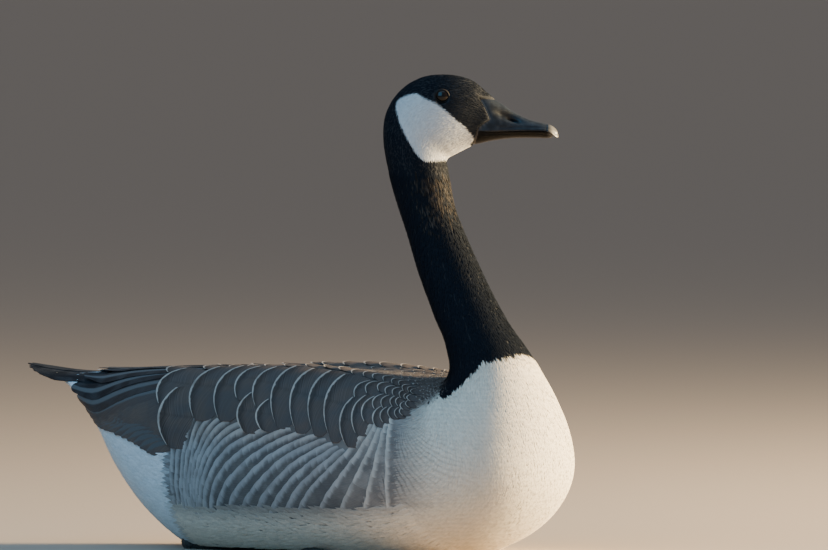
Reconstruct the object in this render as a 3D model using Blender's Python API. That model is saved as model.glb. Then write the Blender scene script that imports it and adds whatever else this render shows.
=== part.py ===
"""A Canada goose at rest on its belly, life size, with its head turned to its left.

Metres, +Z up, +X towards the breast, +Y to the bird's left. The origin is on the belly flat, at floor level.
The body is modelled with the head straight ahead. The neck is then twisted about an upright axis, and
the head, bill and eyes hang on an empty that is turned by the same angle.
"""

import math

import bmesh
import bpy
import numpy as np
from mathutils import Matrix, Vector
from mathutils.bvhtree import BVHTree

# Driving dimensions
GAP = 0.0003
HEAD_TURN = math.radians(36)
TURN_X = 0.070
TURN_START_Z = 0.170
TURN_END_Z = 0.300
RING_POINTS = 20
RINGS_PER_SPAN = 2

# The line where the feathers of the head meet the bill, in (x, z)
GAPE = (0.1190, 0.3392)
LORE_POINT = (0.1283, 0.3457)
BILL_TOP_CORNER = (0.1196, 0.3638)
BILL_EDGE = (
    (0.1345, 0.3616),
    BILL_TOP_CORNER,
    (0.1245, 0.3550),
    LORE_POINT,
    GAPE,
    (0.1150, 0.3240),
)
BILL_REGION_X = 0.20
BILL_REGION_Z = (0.30, 0.356)
BILL_ARC_STEPS = 12
UPPER_BILL_FULLNESS = 2.3
LOWER_BILL_FULLNESS = 2.0
BILL_ROOF_FULLNESS = 1.8
CUTTER_HALF_WIDTH = 0.05
NOSTRIL = (0.1480, 0.0085, 0.3452)
NOSTRIL_SIZE = (0.0050, 0.0030, 0.0015)
NOSTRIL_SLOPE = math.radians(20)

# Eyes
EYE_RADIUS = 0.0068
EYE_CENTRE = (0.0902, 0.0152, 0.3642)
EYE_TILT = math.radians(12)
LID_RING_RADIUS = 0.0049
LID_THICKNESS = 0.0013

# Legs, folded flat under the belly
LEG_Y = 0.047
ANKLE_X = -0.120
TOE_ROOT_X = -0.036
TARSUS_RADIUS = 0.0058
TOE_RADIUS = 0.0040
TOE_LENGTHS = (0.072, 0.088, 0.076)
TOE_SPREAD = math.radians(23)
WEB_THICKNESS = 0.0030
WEB_TO_TIP = 0.9
WEB_REACH = 0.78
WEB_HEEL = 0.006
ANKLE_SWELL = 1.35
KNUCKLE_SWELL = 1.2
TOE_TAPER = 0.6
CLAW_TAPER = 0.5
CLAW_LENGTH = 0.007
CLAW_TIP_RADIUS = 0.0006
HIND_TOE_REACH = (-0.020, -0.010)
HIND_TOE_RADII = (0.0035, 0.0022)
BELOW = 0.001

# Wings, folded on the back: each border is a list of (x, angle down from the midline in degrees)
AXIS_Z = 0.075
AXIS_RISE_X = -0.15
AXIS_RISE = 0.45
WING_FRONT_X = 0.126
WING_REAR_X = -0.196
WING_COLUMNS = 13
WING_ACROSS = 7
WING_TOP = ((0.13, 62), (0.10, 40), (0.07, 16), (0.04, 6), (-0.20, 6))
WING_BOTTOM = ((0.13, 68), (0.09, 76), (0.06, 87), (0.03, 80), (-0.08, 75), (-0.12, 82), (-0.20, 74))
WING_INSIDE = ((0.13, -0.003), (0.10, -0.008), (-0.165, -0.008), (-0.192, 0.0016))
WING_OUTSIDE = ((0.13, 0.0010), (-0.07, 0.0018), (-0.105, 0.0038), (-0.192, 0.0048))
BED_CUT = 0.0005
BED_SLACK = 1.5
WING_BULGE = ((0.125, 0.0), (0.07, 0.007), (0.0, 0.011), (-0.10, 0.006), (-0.18, 0.0))
SURFACE_RADIUS = 0.090

# Covert tiers, from the rear to the wrist: x of the tips, first and last angle, count, length, half width
COVERT_TIERS = (
    (-0.122, 18, 70, 4, 0.070, 0.0180),
    (-0.076, 17, 62, 3, 0.066, 0.0200),
    (-0.032, 17, 66, 4, 0.062, 0.0180),
    (0.010, 18, 70, 4, 0.054, 0.0170),
    (0.046, 26, 74, 3, 0.048, 0.0180),
    (0.080, 46, 70, 2, 0.030, 0.0140),
)
COVERT_THICKNESS = 0.0022
COVERT_TIP_LIFT = 0.0024
COVERT_ROOT_SINK = -0.0030
COVERT_JITTER_ANGLE = 1.2
COVERT_JITTER_X = 0.003

# Flight feathers of the folded wing, counted from the midline down: root and tip as (x, angle)
FLIGHT_COUNT = 7
FLIGHT_ROOTS = ((0, -0.110, 22), (1, -0.118, 82))
FLIGHT_TIPS = ((0, -0.224, 20), (0.14, -0.248, 36), (0.5, -0.244, 62), (0.75, -0.232, 84), (1, -0.176, 92))
FLIGHT_HALF_WIDTH = 0.0105
FLIGHT_THICKNESS = 0.0012
FLIGHT_LIFT = 0.0030
FLIGHT_ROOT_SINK = -0.0010
FLIGHT_OVER = 40
FLIGHT_JITTER_X = 0.002
EDGE_MARGIN = 2.5
FRONT_MARGIN = 0.014

# Tail feathers, counted from the middle out to each side
TAIL_PAIRS = 6
TAIL_ROOT = (-0.232, 0.1360)
TAIL_TIP = (-0.3035, 0.1472)
TAIL_YAW = math.radians(5.0)
TAIL_ROLL = math.radians(9.0)
TAIL_DROP = 0.0011
TAIL_HALF_WIDTH = 0.0105
TAIL_THICKNESS = 0.0011
TAIL_ROOT_SPACING = 0.0030
TAIL_TIP_DROP = 0.0018
TAIL_SHORTENING = 0.022
TAIL_JITTER = 0.01
TAIL_SAG = 0.002

# Outline of a feather from root to tip: part of the length, part of the half width
VANE_OUTLINE = ((0, 0.6), (0.50, 1.0), (0.85, 0.82), (1.0, 0.25))
VANE_CAMBER = 0.10
VANE_RISE = 0.6
VANE_THINNING = 0.5
SEED = 7

# Each row: top of the section (x, z), bottom of the section (x, z), half width, fullness
TAIL_ROWS = (
    (-0.276, 0.1395, -0.275, 0.1340, 0.024, 2.0),
    (-0.260, 0.1405, -0.254, 0.1195, 0.033, 2.0),
    (-0.242, 0.1415, -0.234, 0.0980, 0.039, 2.0),
    (-0.225, 0.1425, -0.214, 0.0710, 0.047, 2.0),
)
TORSO_ROWS = (
    (-0.205, 0.1435, -0.194, 0.0420, 0.057, 2.1),
    (-0.170, 0.1455, -0.160, 0.0130, 0.074, 2.2),
    (-0.120, 0.1470, -0.118, -0.0080, 0.091, 2.2),
    (-0.060, 0.1480, -0.058, -0.0120, 0.102, 2.3),
    (0.000, 0.1480, 0.005, -0.0120, 0.107, 2.3),
    (0.050, 0.1465, 0.065, -0.0110, 0.107, 2.2),
    (0.085, 0.1440, 0.115, -0.0050, 0.102, 2.2),
    (0.101, 0.1430, 0.155, 0.0080, 0.094, 2.2),
    (0.109, 0.1430, 0.186, 0.0290, 0.083, 2.1),
    (0.1120, 0.1440, 0.203, 0.0560, 0.072, 2.1),
    (0.1128, 0.1460, 0.205, 0.0880, 0.062, 2.0),
    (0.1125, 0.1485, 0.196, 0.1200, 0.051, 2.0),
)
NECK_ROWS = (
    (0.1115, 0.1520, 0.183, 0.1460, 0.042, 2.0),
    (0.1080, 0.1590, 0.1680, 0.1680, 0.035, 2.0),
    (0.1030, 0.1710, 0.1520, 0.1870, 0.030, 2.0),
    (0.0920, 0.1870, 0.1320, 0.2140, 0.0262, 2.0),
)
UPPER_NECK_ROWS = (
    (0.0735, 0.2211, 0.1152, 0.2429, 0.0238, 2.0),
    (0.0615, 0.2553, 0.1010, 0.2727, 0.0226, 2.0),
    (0.0512, 0.2852, 0.0955, 0.2948, 0.0228, 2.0),
)
HEAD_ROWS = (
    (0.0452, 0.3120, 0.0955, 0.3065, 0.0236, 2.0),
    (0.0428, 0.3300, 0.0942, 0.3110, 0.0240, 2.0),
    (0.0440, 0.3470, 0.0945, 0.3135, 0.0245, 2.0),
    (0.0505, 0.3615, 0.0965, 0.3153, 0.0250, 2.0),
    (0.0620, 0.3722, 0.0995, 0.3168, 0.0252, 2.1),
    (0.0760, 0.3787, 0.1030, 0.3186, 0.0245, 2.1),
    (0.0910, 0.3803, 0.1070, 0.3207, 0.0228, 2.1),
    (0.1040, 0.3792, 0.1110, 0.3228, 0.0205, 2.1),
    (0.1150, 0.3748, 0.1155, 0.3245, 0.0178, 2.1),
    (0.1235, 0.3678, 0.1205, 0.3258, 0.0155, 2.0),
    (0.1360, 0.3590, 0.1330, 0.3290, 0.0120, 2.0),
)

# Each row of the bill: x, top, bottom, half width
UPPER_BILL_ROWS = (
    (0.1120, 0.3660, 0.3380, 0.0138),
    (0.1200, 0.3660, 0.3372, 0.0136),
    (0.1260, 0.3645, 0.3368, 0.0132),
    (0.1318, 0.3618, 0.3366, 0.0126),
    (0.1388, 0.3569, 0.3366, 0.0118),
    (0.1466, 0.3513, 0.3367, 0.0110),
    (0.1584, 0.3457, 0.3368, 0.0103),
    (0.1702, 0.3426, 0.3366, 0.0097),
    (0.1764, 0.3408, 0.3350, 0.0082),
    (0.1805, 0.3377, 0.3330, 0.0055),
    (0.1822, 0.3345, 0.3318, 0.0026),
)
LOWER_BILL_ROWS = (
    (0.1100, 0.3376, 0.3252, 0.0126),
    (0.1190, 0.3368, 0.3262, 0.0122),
    (0.1309, 0.3362, 0.3288, 0.0110),
    (0.1466, 0.3363, 0.3306, 0.0098),
    (0.1640, 0.3363, 0.3308, 0.0088),
    (0.1735, 0.3356, 0.3306, 0.0072),
    (0.1780, 0.3342, 0.3312, 0.0045),
)

PART_COLLECTION = "canada_goose"
CUTTER_COLLECTION = "cutters"


def clear_scene():
    for obj in list(bpy.data.objects):
        bpy.data.objects.remove(obj)


def collection(name):
    made = bpy.data.collections.new(name)
    bpy.context.scene.collection.children.link(made)
    return made


def material(name, color, roughness, metallic=0.0):
    made = bpy.data.materials.new(name)
    made.use_nodes = True
    shader = made.node_tree.nodes["Principled BSDF"]
    shader.inputs["Base Color"].default_value = (*color, 1.0)
    shader.inputs["Roughness"].default_value = roughness
    shader.inputs["Metallic"].default_value = metallic
    return made


def object_from(bm, name, into):
    """A new object from a bmesh, in the named collection."""
    bmesh.ops.recalc_face_normals(bm, faces=bm.faces)
    mesh = bpy.data.meshes.new(name)
    bm.to_mesh(mesh)
    bm.free()
    made = bpy.data.objects.new(name, mesh)
    bpy.data.collections[into].objects.link(made)
    if into == CUTTER_COLLECTION:
        made.hide_render = True
        made.display_type = "WIRE"
    return made


def smooth_rows(rows, steps):
    """The rows with more between them, on a Catmull-Rom curve through each column."""
    table = np.array(rows)
    padded = np.vstack([2 * table[0] - table[1], table, 2 * table[-1] - table[-2]])
    found = []
    for i in range(1, len(padded) - 2):
        before, start, end, after = padded[i - 1 : i + 3]
        for t in np.arange(steps) / steps:
            found.append(
                0.5 * (2 * start + (end - before) * t
                       + (2 * before - 5 * start + 4 * end - after) * t ** 2
                       + (3 * start - before - 3 * end + after) * t ** 3)
            )
    found.append(padded[-2])
    return np.array(found)


def rounded(value, fullness):
    return math.copysign(abs(value) ** (2 / fullness), value)


def body_ring(row):
    """The points of one section, counted from its top and round by the left side."""
    top = Vector((row[0], 0, row[1]))
    bottom = Vector((row[2], 0, row[3]))
    centre = (top + bottom) / 2
    upward = (top - bottom) / 2
    points = []
    for k in range(RING_POINTS):
        angle = 2 * math.pi * k / RING_POINTS
        across = Vector((0, row[4], 0))
        points.append(
            centre + upward * rounded(math.cos(angle), row[5]) + across * rounded(math.sin(angle), row[5])
        )
    return points


def ring_normal(ring):
    """The direction in which the loft leaves this ring."""
    quarter = len(ring) // 4
    return (ring[0] - ring[2 * quarter]).cross(ring[quarter] - ring[3 * quarter]).normalized() * -1


def loft(rings, name, into, ladder=False):
    """A closed solid through rings of equal counts. Its ends are fans, or ladders where it is thin and curved."""
    bm = bmesh.new()
    loops = [[bm.verts.new(point) for point in ring] for ring in rings]
    count = len(rings[0])
    for first, second in zip(loops, loops[1:]):
        for k in range(count):
            after = (k + 1) % count
            bm.faces.new((first[k], first[after], second[after]))
            bm.faces.new((first[k], second[after], second[k]))
    for loop in (loops[0], loops[-1]):
        if ladder:
            for k in range(count // 2 - 1):
                bm.faces.new((loop[k], loop[k + 1], loop[count - 2 - k]))
                bm.faces.new((loop[k], loop[count - 2 - k], loop[count - 1 - k]))
            continue
        middle = bm.verts.new(sum((v.co for v in loop), Vector()) / count)
        for k in range(count):
            bm.faces.new((loop[k], loop[(k + 1) % count], middle))
    return object_from(bm, name, into)


def turned(point):
    """Where a point of the straight neck goes when the head is turned."""
    part = min(max((point.z - TURN_START_Z) / (TURN_END_Z - TURN_START_Z), 0), 1)
    angle = HEAD_TURN * part * part * (3 - 2 * part)
    axis = Vector((TURN_X, 0, 0))
    return Matrix.Rotation(angle, 3, "Z") @ (point - axis) + axis


def bake(obj):
    """Apply the object's modifiers to its mesh."""
    bpy.context.view_layer.update()
    graph = bpy.context.evaluated_depsgraph_get()
    mesh = bpy.data.meshes.new_from_object(obj.evaluated_get(graph))
    obj.modifiers.clear()
    old = obj.data
    obj.data = mesh
    mesh.name = obj.name
    bpy.data.meshes.remove(old)


def boolean(obj, cutter, operation):
    modifier = obj.modifiers.new(operation.title(), "BOOLEAN")
    modifier.operation = operation
    modifier.object = cutter
    bake(obj)
    bpy.data.objects.remove(cutter)
    keep_largest(obj)


def keep_largest(obj):
    """Drop every closed surface of the mesh but the largest."""
    bm = bmesh.new()
    bm.from_mesh(obj.data)
    bm.verts.ensure_lookup_table()
    left = set(bm.verts)
    islands = []
    while left:
        island = {left.pop()}
        edge = list(island)
        while edge:
            for link in edge.pop().link_edges:
                for vert in link.verts:
                    if vert in left:
                        left.remove(vert)
                        island.add(vert)
                        edge.append(vert)
        islands.append(island)
    largest = max(islands, key=len)
    loose = [vert for island in islands if island is not largest for vert in island]
    bmesh.ops.delete(bm, geom=loose, context="VERTS")
    bm.to_mesh(obj.data)
    bm.free()


def union(core, pieces):
    """Fuse the pieces with the core by one Boolean, and keep the largest closed surface."""
    group = collection(core.name + "_pieces")
    for piece in pieces:
        for holder in piece.users_collection:
            holder.objects.unlink(piece)
        group.objects.link(piece)
    modifier = core.modifiers.new("Fused", "BOOLEAN")
    modifier.operation = "UNION"
    modifier.operand_type = "COLLECTION"
    modifier.solver = "MANIFOLD"
    modifier.collection = group
    bake(core)
    for piece in pieces:
        bpy.data.objects.remove(piece)
    bpy.data.collections.remove(group)
    keep_largest(core)


def prism(outline, half_width, name):
    """A cutter from an outline in (x, z), as wide on both sides of the midline."""
    bm = bmesh.new()
    face = bm.faces.new([bm.verts.new((x, -half_width, z)) for x, z in outline])
    grown = bmesh.ops.extrude_face_region(bm, geom=[face])["geom"]
    moved = [item for item in grown if isinstance(item, bmesh.types.BMVert)]
    bmesh.ops.translate(bm, verts=moved, vec=(0, 2 * half_width, 0))
    return object_from(bm, name, CUTTER_COLLECTION)


def ellipsoid(centre, radii, tilt, name, into, rings=10, segments=16):
    """A rounded solid, its radii given before it is tilted about the Y axis."""
    bm = bmesh.new()
    bmesh.ops.create_uvsphere(bm, u_segments=segments, v_segments=rings, radius=1.0)
    place = Matrix.Translation(centre) @ Matrix.Rotation(tilt, 4, "Y") @ Matrix.Diagonal((*radii, 1.0))
    bmesh.ops.transform(bm, matrix=place, verts=bm.verts)
    return object_from(bm, name, into)


def body_parts():
    """The tail core, torso, two neck lengths and head, lofted in one run and parted at their rings."""
    named = (
        ("tail", TAIL_ROWS),
        ("torso", TORSO_ROWS),
        ("neck_lower", NECK_ROWS),
        ("neck_upper", UPPER_NECK_ROWS),
        ("head", HEAD_ROWS),
    )
    rows = smooth_rows([row for _, group in named for row in group], RINGS_PER_SPAN)
    rings = [body_ring(row) for row in rows]
    made = {"whole": loft(rings, "whole_body", CUTTER_COLLECTION)}
    first = 0
    for name, group in named:
        last = min(first + RINGS_PER_SPAN * len(group), len(rings) - 1)
        own = [list(ring) for ring in rings[first : last + 1]]
        if first:
            shift = ring_normal(own[0]) * GAP
            own[0] = [point + shift for point in own[0]]
        if name.startswith("neck"):
            own = [[turned(point) for point in ring] for ring in own]
        made[name] = loft(own, name, PART_COLLECTION)
        first = last
    return made


def flatten_belly(obj):
    """Cut the solid off at floor level."""
    bm = bmesh.new()
    bm.from_mesh(obj.data)
    cut = bmesh.ops.bisect_plane(
        bm,
        geom=bm.verts[:] + bm.edges[:] + bm.faces[:],
        plane_co=(0, 0, 0),
        plane_no=(0, 0, -1),
        clear_outer=True,
    )
    rim = [item for item in cut["geom_cut"] if isinstance(item, bmesh.types.BMEdge)]
    bmesh.ops.holes_fill(bm, edges=rim, sides=0)
    bmesh.ops.recalc_face_normals(bm, faces=bm.faces)
    bm.to_mesh(obj.data)
    bm.free()


def bill_ring(row, upper):
    """One section of the bill: a round side away from the mouth and a flat side on it."""
    x, top, bottom, half = row
    round_z, flat_z = (top, bottom) if upper else (bottom, top)
    points = []
    fullness = UPPER_BILL_FULLNESS if upper else LOWER_BILL_FULLNESS
    for k in range(BILL_ARC_STEPS + 1):
        angle = math.pi * k / BILL_ARC_STEPS
        across = half * rounded(math.cos(angle), fullness)
        rise = (round_z - flat_z) * rounded(math.sin(angle), BILL_ROOF_FULLNESS)
        points.append(Vector((x, across, flat_z + rise)))
    points.append(Vector((x, -half * 0.5, flat_z)))
    points.append(Vector((x, half * 0.5, flat_z)))
    return points


def bill(rows, name, upper):
    """Half of the bill, cut to the line where the feathers end."""
    rings = [bill_ring(row, upper) for row in rows]
    made = loft(rings, name, PART_COLLECTION)
    boolean(made, prism(bill_region(0), CUTTER_HALF_WIDTH, name + "_region"), "INTERSECT")
    return made


def bill_region(grow):
    """The outline in (x, z) of all that lies in front of the feathers."""
    edge = [(x - grow, z + grow) for x, z in BILL_EDGE]
    low, high = BILL_REGION_Z
    return [
        (BILL_REGION_X, high + grow),
        *edge,
        (BILL_EDGE[-1][0] - grow, low),
        (BILL_REGION_X, low),
    ]


def nostrils(obj):
    for side in (1, -1):
        centre = (NOSTRIL[0], side * NOSTRIL[1], NOSTRIL[2])
        cutter = ellipsoid(centre, NOSTRIL_SIZE, NOSTRIL_SLOPE, "nostril_cutter", CUTTER_COLLECTION, 8, 12)
        boolean(obj, cutter, "DIFFERENCE")


def lid(side):
    """The ring of the lids round one eye."""
    tilt = Matrix.Rotation(side * EYE_TILT, 4, "X")
    centre = Vector((EYE_CENTRE[0], side * EYE_CENTRE[1], EYE_CENTRE[2]))
    outward = tilt @ Vector((0, side, 0))
    bpy.ops.mesh.primitive_torus_add(
        major_segments=16, minor_segments=6, major_radius=LID_RING_RADIUS, minor_radius=LID_THICKNESS
    )
    made = bpy.context.object
    made.name = "lid"
    depth = math.sqrt(EYE_RADIUS ** 2 - LID_RING_RADIUS ** 2)
    place = Matrix.Translation(centre + outward * depth) @ tilt @ Matrix.Rotation(math.pi / 2, 4, "X")
    made.data.transform(place)
    return made


def head_details(head):
    """Lids, sockets for the eyes and the edge where the bill begins."""
    union(head, [lid(1), lid(-1)])
    for side in (1, -1):
        centre = (EYE_CENTRE[0], side * EYE_CENTRE[1], EYE_CENTRE[2])
        radius = EYE_RADIUS + GAP
        socket = ellipsoid(centre, (radius,) * 3, 0, "socket", CUTTER_COLLECTION, rings=10, segments=16)
        boolean(head, socket, "DIFFERENCE")
    boolean(head, prism(bill_region(GAP), CUTTER_HALF_WIDTH, "bill_clearance"), "DIFFERENCE")


def eye(side, name):
    centre = (EYE_CENTRE[0], side * EYE_CENTRE[1], EYE_CENTRE[2])
    return ellipsoid(centre, (EYE_RADIUS,) * 3, 0, name, PART_COLLECTION)


def rod(start, end, start_radius, end_radius, name, into, segments=10):
    """A tapered rod between two points."""
    start = Vector(start)
    end = Vector(end)
    bm = bmesh.new()
    along = end - start
    bmesh.ops.create_cone(
        bm, cap_ends=True, segments=segments, radius1=start_radius, radius2=end_radius, depth=along.length
    )
    turn = along.to_track_quat("Z", "Y").to_matrix().to_4x4()
    bmesh.ops.transform(bm, matrix=Matrix.Translation((start + end) / 2) @ turn, verts=bm.verts)
    return object_from(bm, name, into)


def ball(centre, radius, name):
    return ellipsoid(centre, (radius,) * 3, 0, name, PART_COLLECTION, 8, 12)


def toe_tips(side):
    """The tips of the inner, middle and outer toe."""
    tips = []
    for k, length in enumerate(TOE_LENGTHS):
        angle = side * (k - 1) * TOE_SPREAD
        tips.append(
            Vector((TOE_ROOT_X + length * math.cos(angle), side * LEG_Y + length * math.sin(angle), 0))
        )
    return tips


def grown_outline(points, grow):
    """A flat outline with each of its edges moved outwards by grow, whichever way round it runs."""
    count = len(points)
    area = sum(points[k - 1].x * points[k].y - points[k].x * points[k - 1].y for k in range(count))
    outward = Vector((0, 0, 1 if area > 0 else -1))
    moved = []
    for k in range(count):
        before = (points[k] - points[k - 1]).normalized().cross(outward)
        after = (points[(k + 1) % count] - points[k]).normalized().cross(outward)
        moved.append(points[k] + (before + after) * grow / (1 + before.dot(after)))
    return moved


def web(side, grow):
    """The skin between the toes, with its edge drawn in between their tips."""
    root = Vector((TOE_ROOT_X, side * LEG_Y, 0))
    inner, middle, outer = [root + (tip - root) * WEB_TO_TIP for tip in toe_tips(side)]
    hollow_in = root + ((inner + middle) / 2 - root) * WEB_REACH
    hollow_out = root + ((middle + outer) / 2 - root) * WEB_REACH
    outline = [root - Vector((WEB_HEEL, 0, 0)), inner, hollow_in, middle, hollow_out, outer]
    bm = bmesh.new()
    below = Vector((0, 0, -BELOW))
    face = bm.faces.new([bm.verts.new(point + below) for point in grown_outline(outline, grow)])
    grown = bmesh.ops.extrude_face_region(bm, geom=[face])["geom"]
    moved = [item for item in grown if isinstance(item, bmesh.types.BMVert)]
    bmesh.ops.translate(bm, verts=moved, vec=(0, 0, BELOW + WEB_THICKNESS + grow))
    return object_from(bm, "web", PART_COLLECTION)


def grown_rod(start, end, radii, grow, name, into=PART_COLLECTION, segments=8):
    """A rod that is larger by grow all round and at both ends."""
    along = (end - start).normalized() * grow
    return rod(start - along, end + along, radii[0] + grow, radii[1] + grow, name, into, segments)


def leg(side, name, into, grow=0.0):
    """One folded leg with its webbed foot, made larger by grow where it is used as a cutter."""
    ankle = Vector((ANKLE_X, side * LEG_Y, TARSUS_RADIUS))
    toe_root = Vector((TOE_ROOT_X, side * LEG_Y, TOE_RADIUS + 0.001))
    core = grown_rod(ankle, toe_root, (TARSUS_RADIUS, TARSUS_RADIUS), grow, name, into, 10)
    pieces = [
        ball(ankle, TARSUS_RADIUS * ANKLE_SWELL + grow, "ankle"),
        ball(toe_root, TARSUS_RADIUS * KNUCKLE_SWELL + grow, "knuckle"),
        web(side, grow),
    ]
    for tip in toe_tips(side):
        tip.z = TOE_RADIUS * TOE_TAPER
        claw_tip = tip + (tip - toe_root).normalized() * CLAW_LENGTH
        pieces.append(grown_rod(toe_root, tip, (TOE_RADIUS, TOE_RADIUS * TOE_TAPER), grow, "toe"))
        pieces.append(grown_rod(tip, claw_tip, (TOE_RADIUS * CLAW_TAPER, CLAW_TIP_RADIUS), grow, "claw"))
    hind_tip = toe_root + Vector((HIND_TOE_REACH[0], side * HIND_TOE_REACH[1], 0))
    pieces.append(grown_rod(toe_root, hind_tip, HIND_TOE_RADII, grow, "hind_toe"))
    union(core, pieces)
    if not grow:
        flatten_belly(core)
    return core


def mirrored(obj, name):
    """A copy of the object on the other side of the midline."""
    mesh = obj.data.copy()
    mesh.name = name
    mesh.transform(Matrix.Diagonal((1, -1, 1, 1)))
    mesh.flip_normals()
    made = bpy.data.objects.new(name, mesh)
    bpy.data.collections[PART_COLLECTION].objects.link(made)
    return made


def interpolated(border, x):
    xs, values = zip(*sorted(border))
    return float(np.interp(x, xs, values))


class BackSurface:
    """The outside of the whole body, found by a ray out of the body's axis."""

    def __init__(self, whole):
        bm = bmesh.new()
        bm.from_mesh(whole.data)
        self.tree = BVHTree.FromBMesh(bm)
        bm.free()

    def point(self, x, degrees, side, height):
        """The point at x and at an angle down from the midline, raised by height."""
        angle = math.radians(degrees)
        outward = Vector((0, side * math.sin(angle), math.cos(angle)))
        centre = Vector((x, 0, AXIS_Z + max(AXIS_RISE_X - x, 0) * AXIS_RISE))
        hit = self.tree.ray_cast(centre, outward)[0]
        return hit + outward * height


def wing_height(x, degrees):
    """How far the body of the wing stands out from the body's surface."""
    top = interpolated(WING_TOP, x)
    part = min(max((degrees - top) / (interpolated(WING_BOTTOM, x) - top), 0), 1)
    return interpolated(WING_OUTSIDE, x) + interpolated(WING_BULGE, x) * math.sin(math.pi * part ** 0.8)


def wing_slab(surface, side, name, into, grow=0.0):
    """The body of a folded wing. With grow it is the cutter that makes the wing's bed in the torso."""
    slack = math.degrees(BED_SLACK * grow / SURFACE_RADIUS)
    rings = []
    for i, x in enumerate(np.linspace(WING_FRONT_X, WING_REAR_X, WING_COLUMNS)):
        grown_x = x + grow * (1 if i == 0 else -1 if i == WING_COLUMNS - 1 else 0)
        angles = np.linspace(interpolated(WING_TOP, x), interpolated(WING_BOTTOM, x), WING_ACROSS)
        low, high = [], []
        for k, degrees in enumerate(angles):
            rise = wing_height(x, degrees) + (BED_CUT if grow else 0)
            spread = degrees + slack * (-1 if k == 0 else 1 if k == WING_ACROSS - 1 else 0)
            low.append(surface.point(grown_x, spread, side, interpolated(WING_INSIDE, x) - grow))
            high.append(surface.point(grown_x, spread, side, rise))
        rings.append(low + high[::-1])
    return loft(rings, name, into, ladder=True)


def vane(rows, name):
    """A feather from rows of (left, middle, right, up, thickness), its two faces split alike."""
    rings = []
    for left, middle, right, upward, thickness in rows:
        upper = [left, middle, right]
        lower = [point - upward * thickness for point in reversed(upper)]
        rings.append(upper + lower)
    return loft(rings, name, PART_COLLECTION, ladder=True)


def lying_vane(surface, side, root, tip, lifts, half_width, thickness, over):
    """A feather on the wing, from root to tip as (x, angle), that may pass the lower edge by some degrees."""
    along = Vector((tip[0] - root[0], math.radians(tip[1] - root[1]) * SURFACE_RADIUS))
    across = Vector((-along.y, along.x)).normalized()
    rows = []
    for part, width in VANE_OUTLINE:
        x = root[0] + (tip[0] - root[0]) * part
        degrees = root[1] + (tip[1] - root[1]) * part
        lift = lifts[0] + (lifts[1] - lifts[0]) * part ** VANE_RISE
        points = []
        for place in (-1, 0, 1):
            reach = place * width * half_width
            at_x = min(x + across.x * reach, WING_FRONT_X - FRONT_MARGIN)
            at_angle = degrees + math.degrees(across.y * reach / SURFACE_RADIUS)
            lowest = interpolated(WING_BOTTOM, at_x) - EDGE_MARGIN + over * part
            at_angle = min(max(at_angle, interpolated(WING_TOP, at_x) + EDGE_MARGIN), lowest)
            camber = VANE_CAMBER * half_width * (1 - abs(place))
            height = wing_height(at_x, at_angle) + lift + camber
            points.append(surface.point(at_x, at_angle, side, height))
        inside = surface.point(x, degrees, side, 0)
        upward = (points[1] - inside).normalized()
        rows.append((*points, upward, thickness * (1 - VANE_THINNING * part)))
    return vane(rows, "feather")


def coverts(surface, side, rng):
    """The tiers of coverts and scapulars, each feather's tip over the roots of the tier behind."""
    made = []
    for tip_x, first, last, count, length, half_width in COVERT_TIERS:
        for k in range(count):
            angle = first + (last - first) * k / (count - 1) + COVERT_JITTER_ANGLE * rng.uniform(-1, 1)
            x = tip_x + COVERT_JITTER_X * rng.uniform(-1, 1)
            root_x = min(x + length, WING_FRONT_X - FRONT_MARGIN)
            spread = EDGE_MARGIN + math.degrees(half_width * VANE_OUTLINE[0][1] / SURFACE_RADIUS)
            lowest = interpolated(WING_BOTTOM, root_x) - spread
            root = (root_x, min(max(angle, interpolated(WING_TOP, root_x) + spread), lowest))
            lifts = (COVERT_ROOT_SINK, COVERT_TIP_LIFT)
            made.append(
                lying_vane(surface, side, root, (x, angle), lifts, half_width, COVERT_THICKNESS, 0)
            )
    return made


def place_on(line, part):
    """The (x, angle) at part of the way along a line of (part, x, angle)."""
    parts, xs, angles = zip(*line)
    return np.array((np.interp(part, parts, xs), np.interp(part, parts, angles)))


def flight_feathers(surface, side, rng):
    """Tertials, secondaries and primaries, fanned from the midline down to the lower edge."""
    made = []
    for k in range(FLIGHT_COUNT):
        part = k / (FLIGHT_COUNT - 1)
        root = place_on(FLIGHT_ROOTS, part)
        tip = place_on(FLIGHT_TIPS, part) + np.array((FLIGHT_JITTER_X * rng.uniform(-1, 1), 0))
        lifts = (FLIGHT_ROOT_SINK, FLIGHT_LIFT * (1 - part))
        made.append(
            lying_vane(surface, side, root, tip, lifts, FLIGHT_HALF_WIDTH, FLIGHT_THICKNESS, FLIGHT_OVER)
        )
    return made


def wing(surface, side, name, rng):
    core = wing_slab(surface, side, name, PART_COLLECTION)
    union(core, flight_feathers(surface, side, rng) + coverts(surface, side, rng))
    return core


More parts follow.
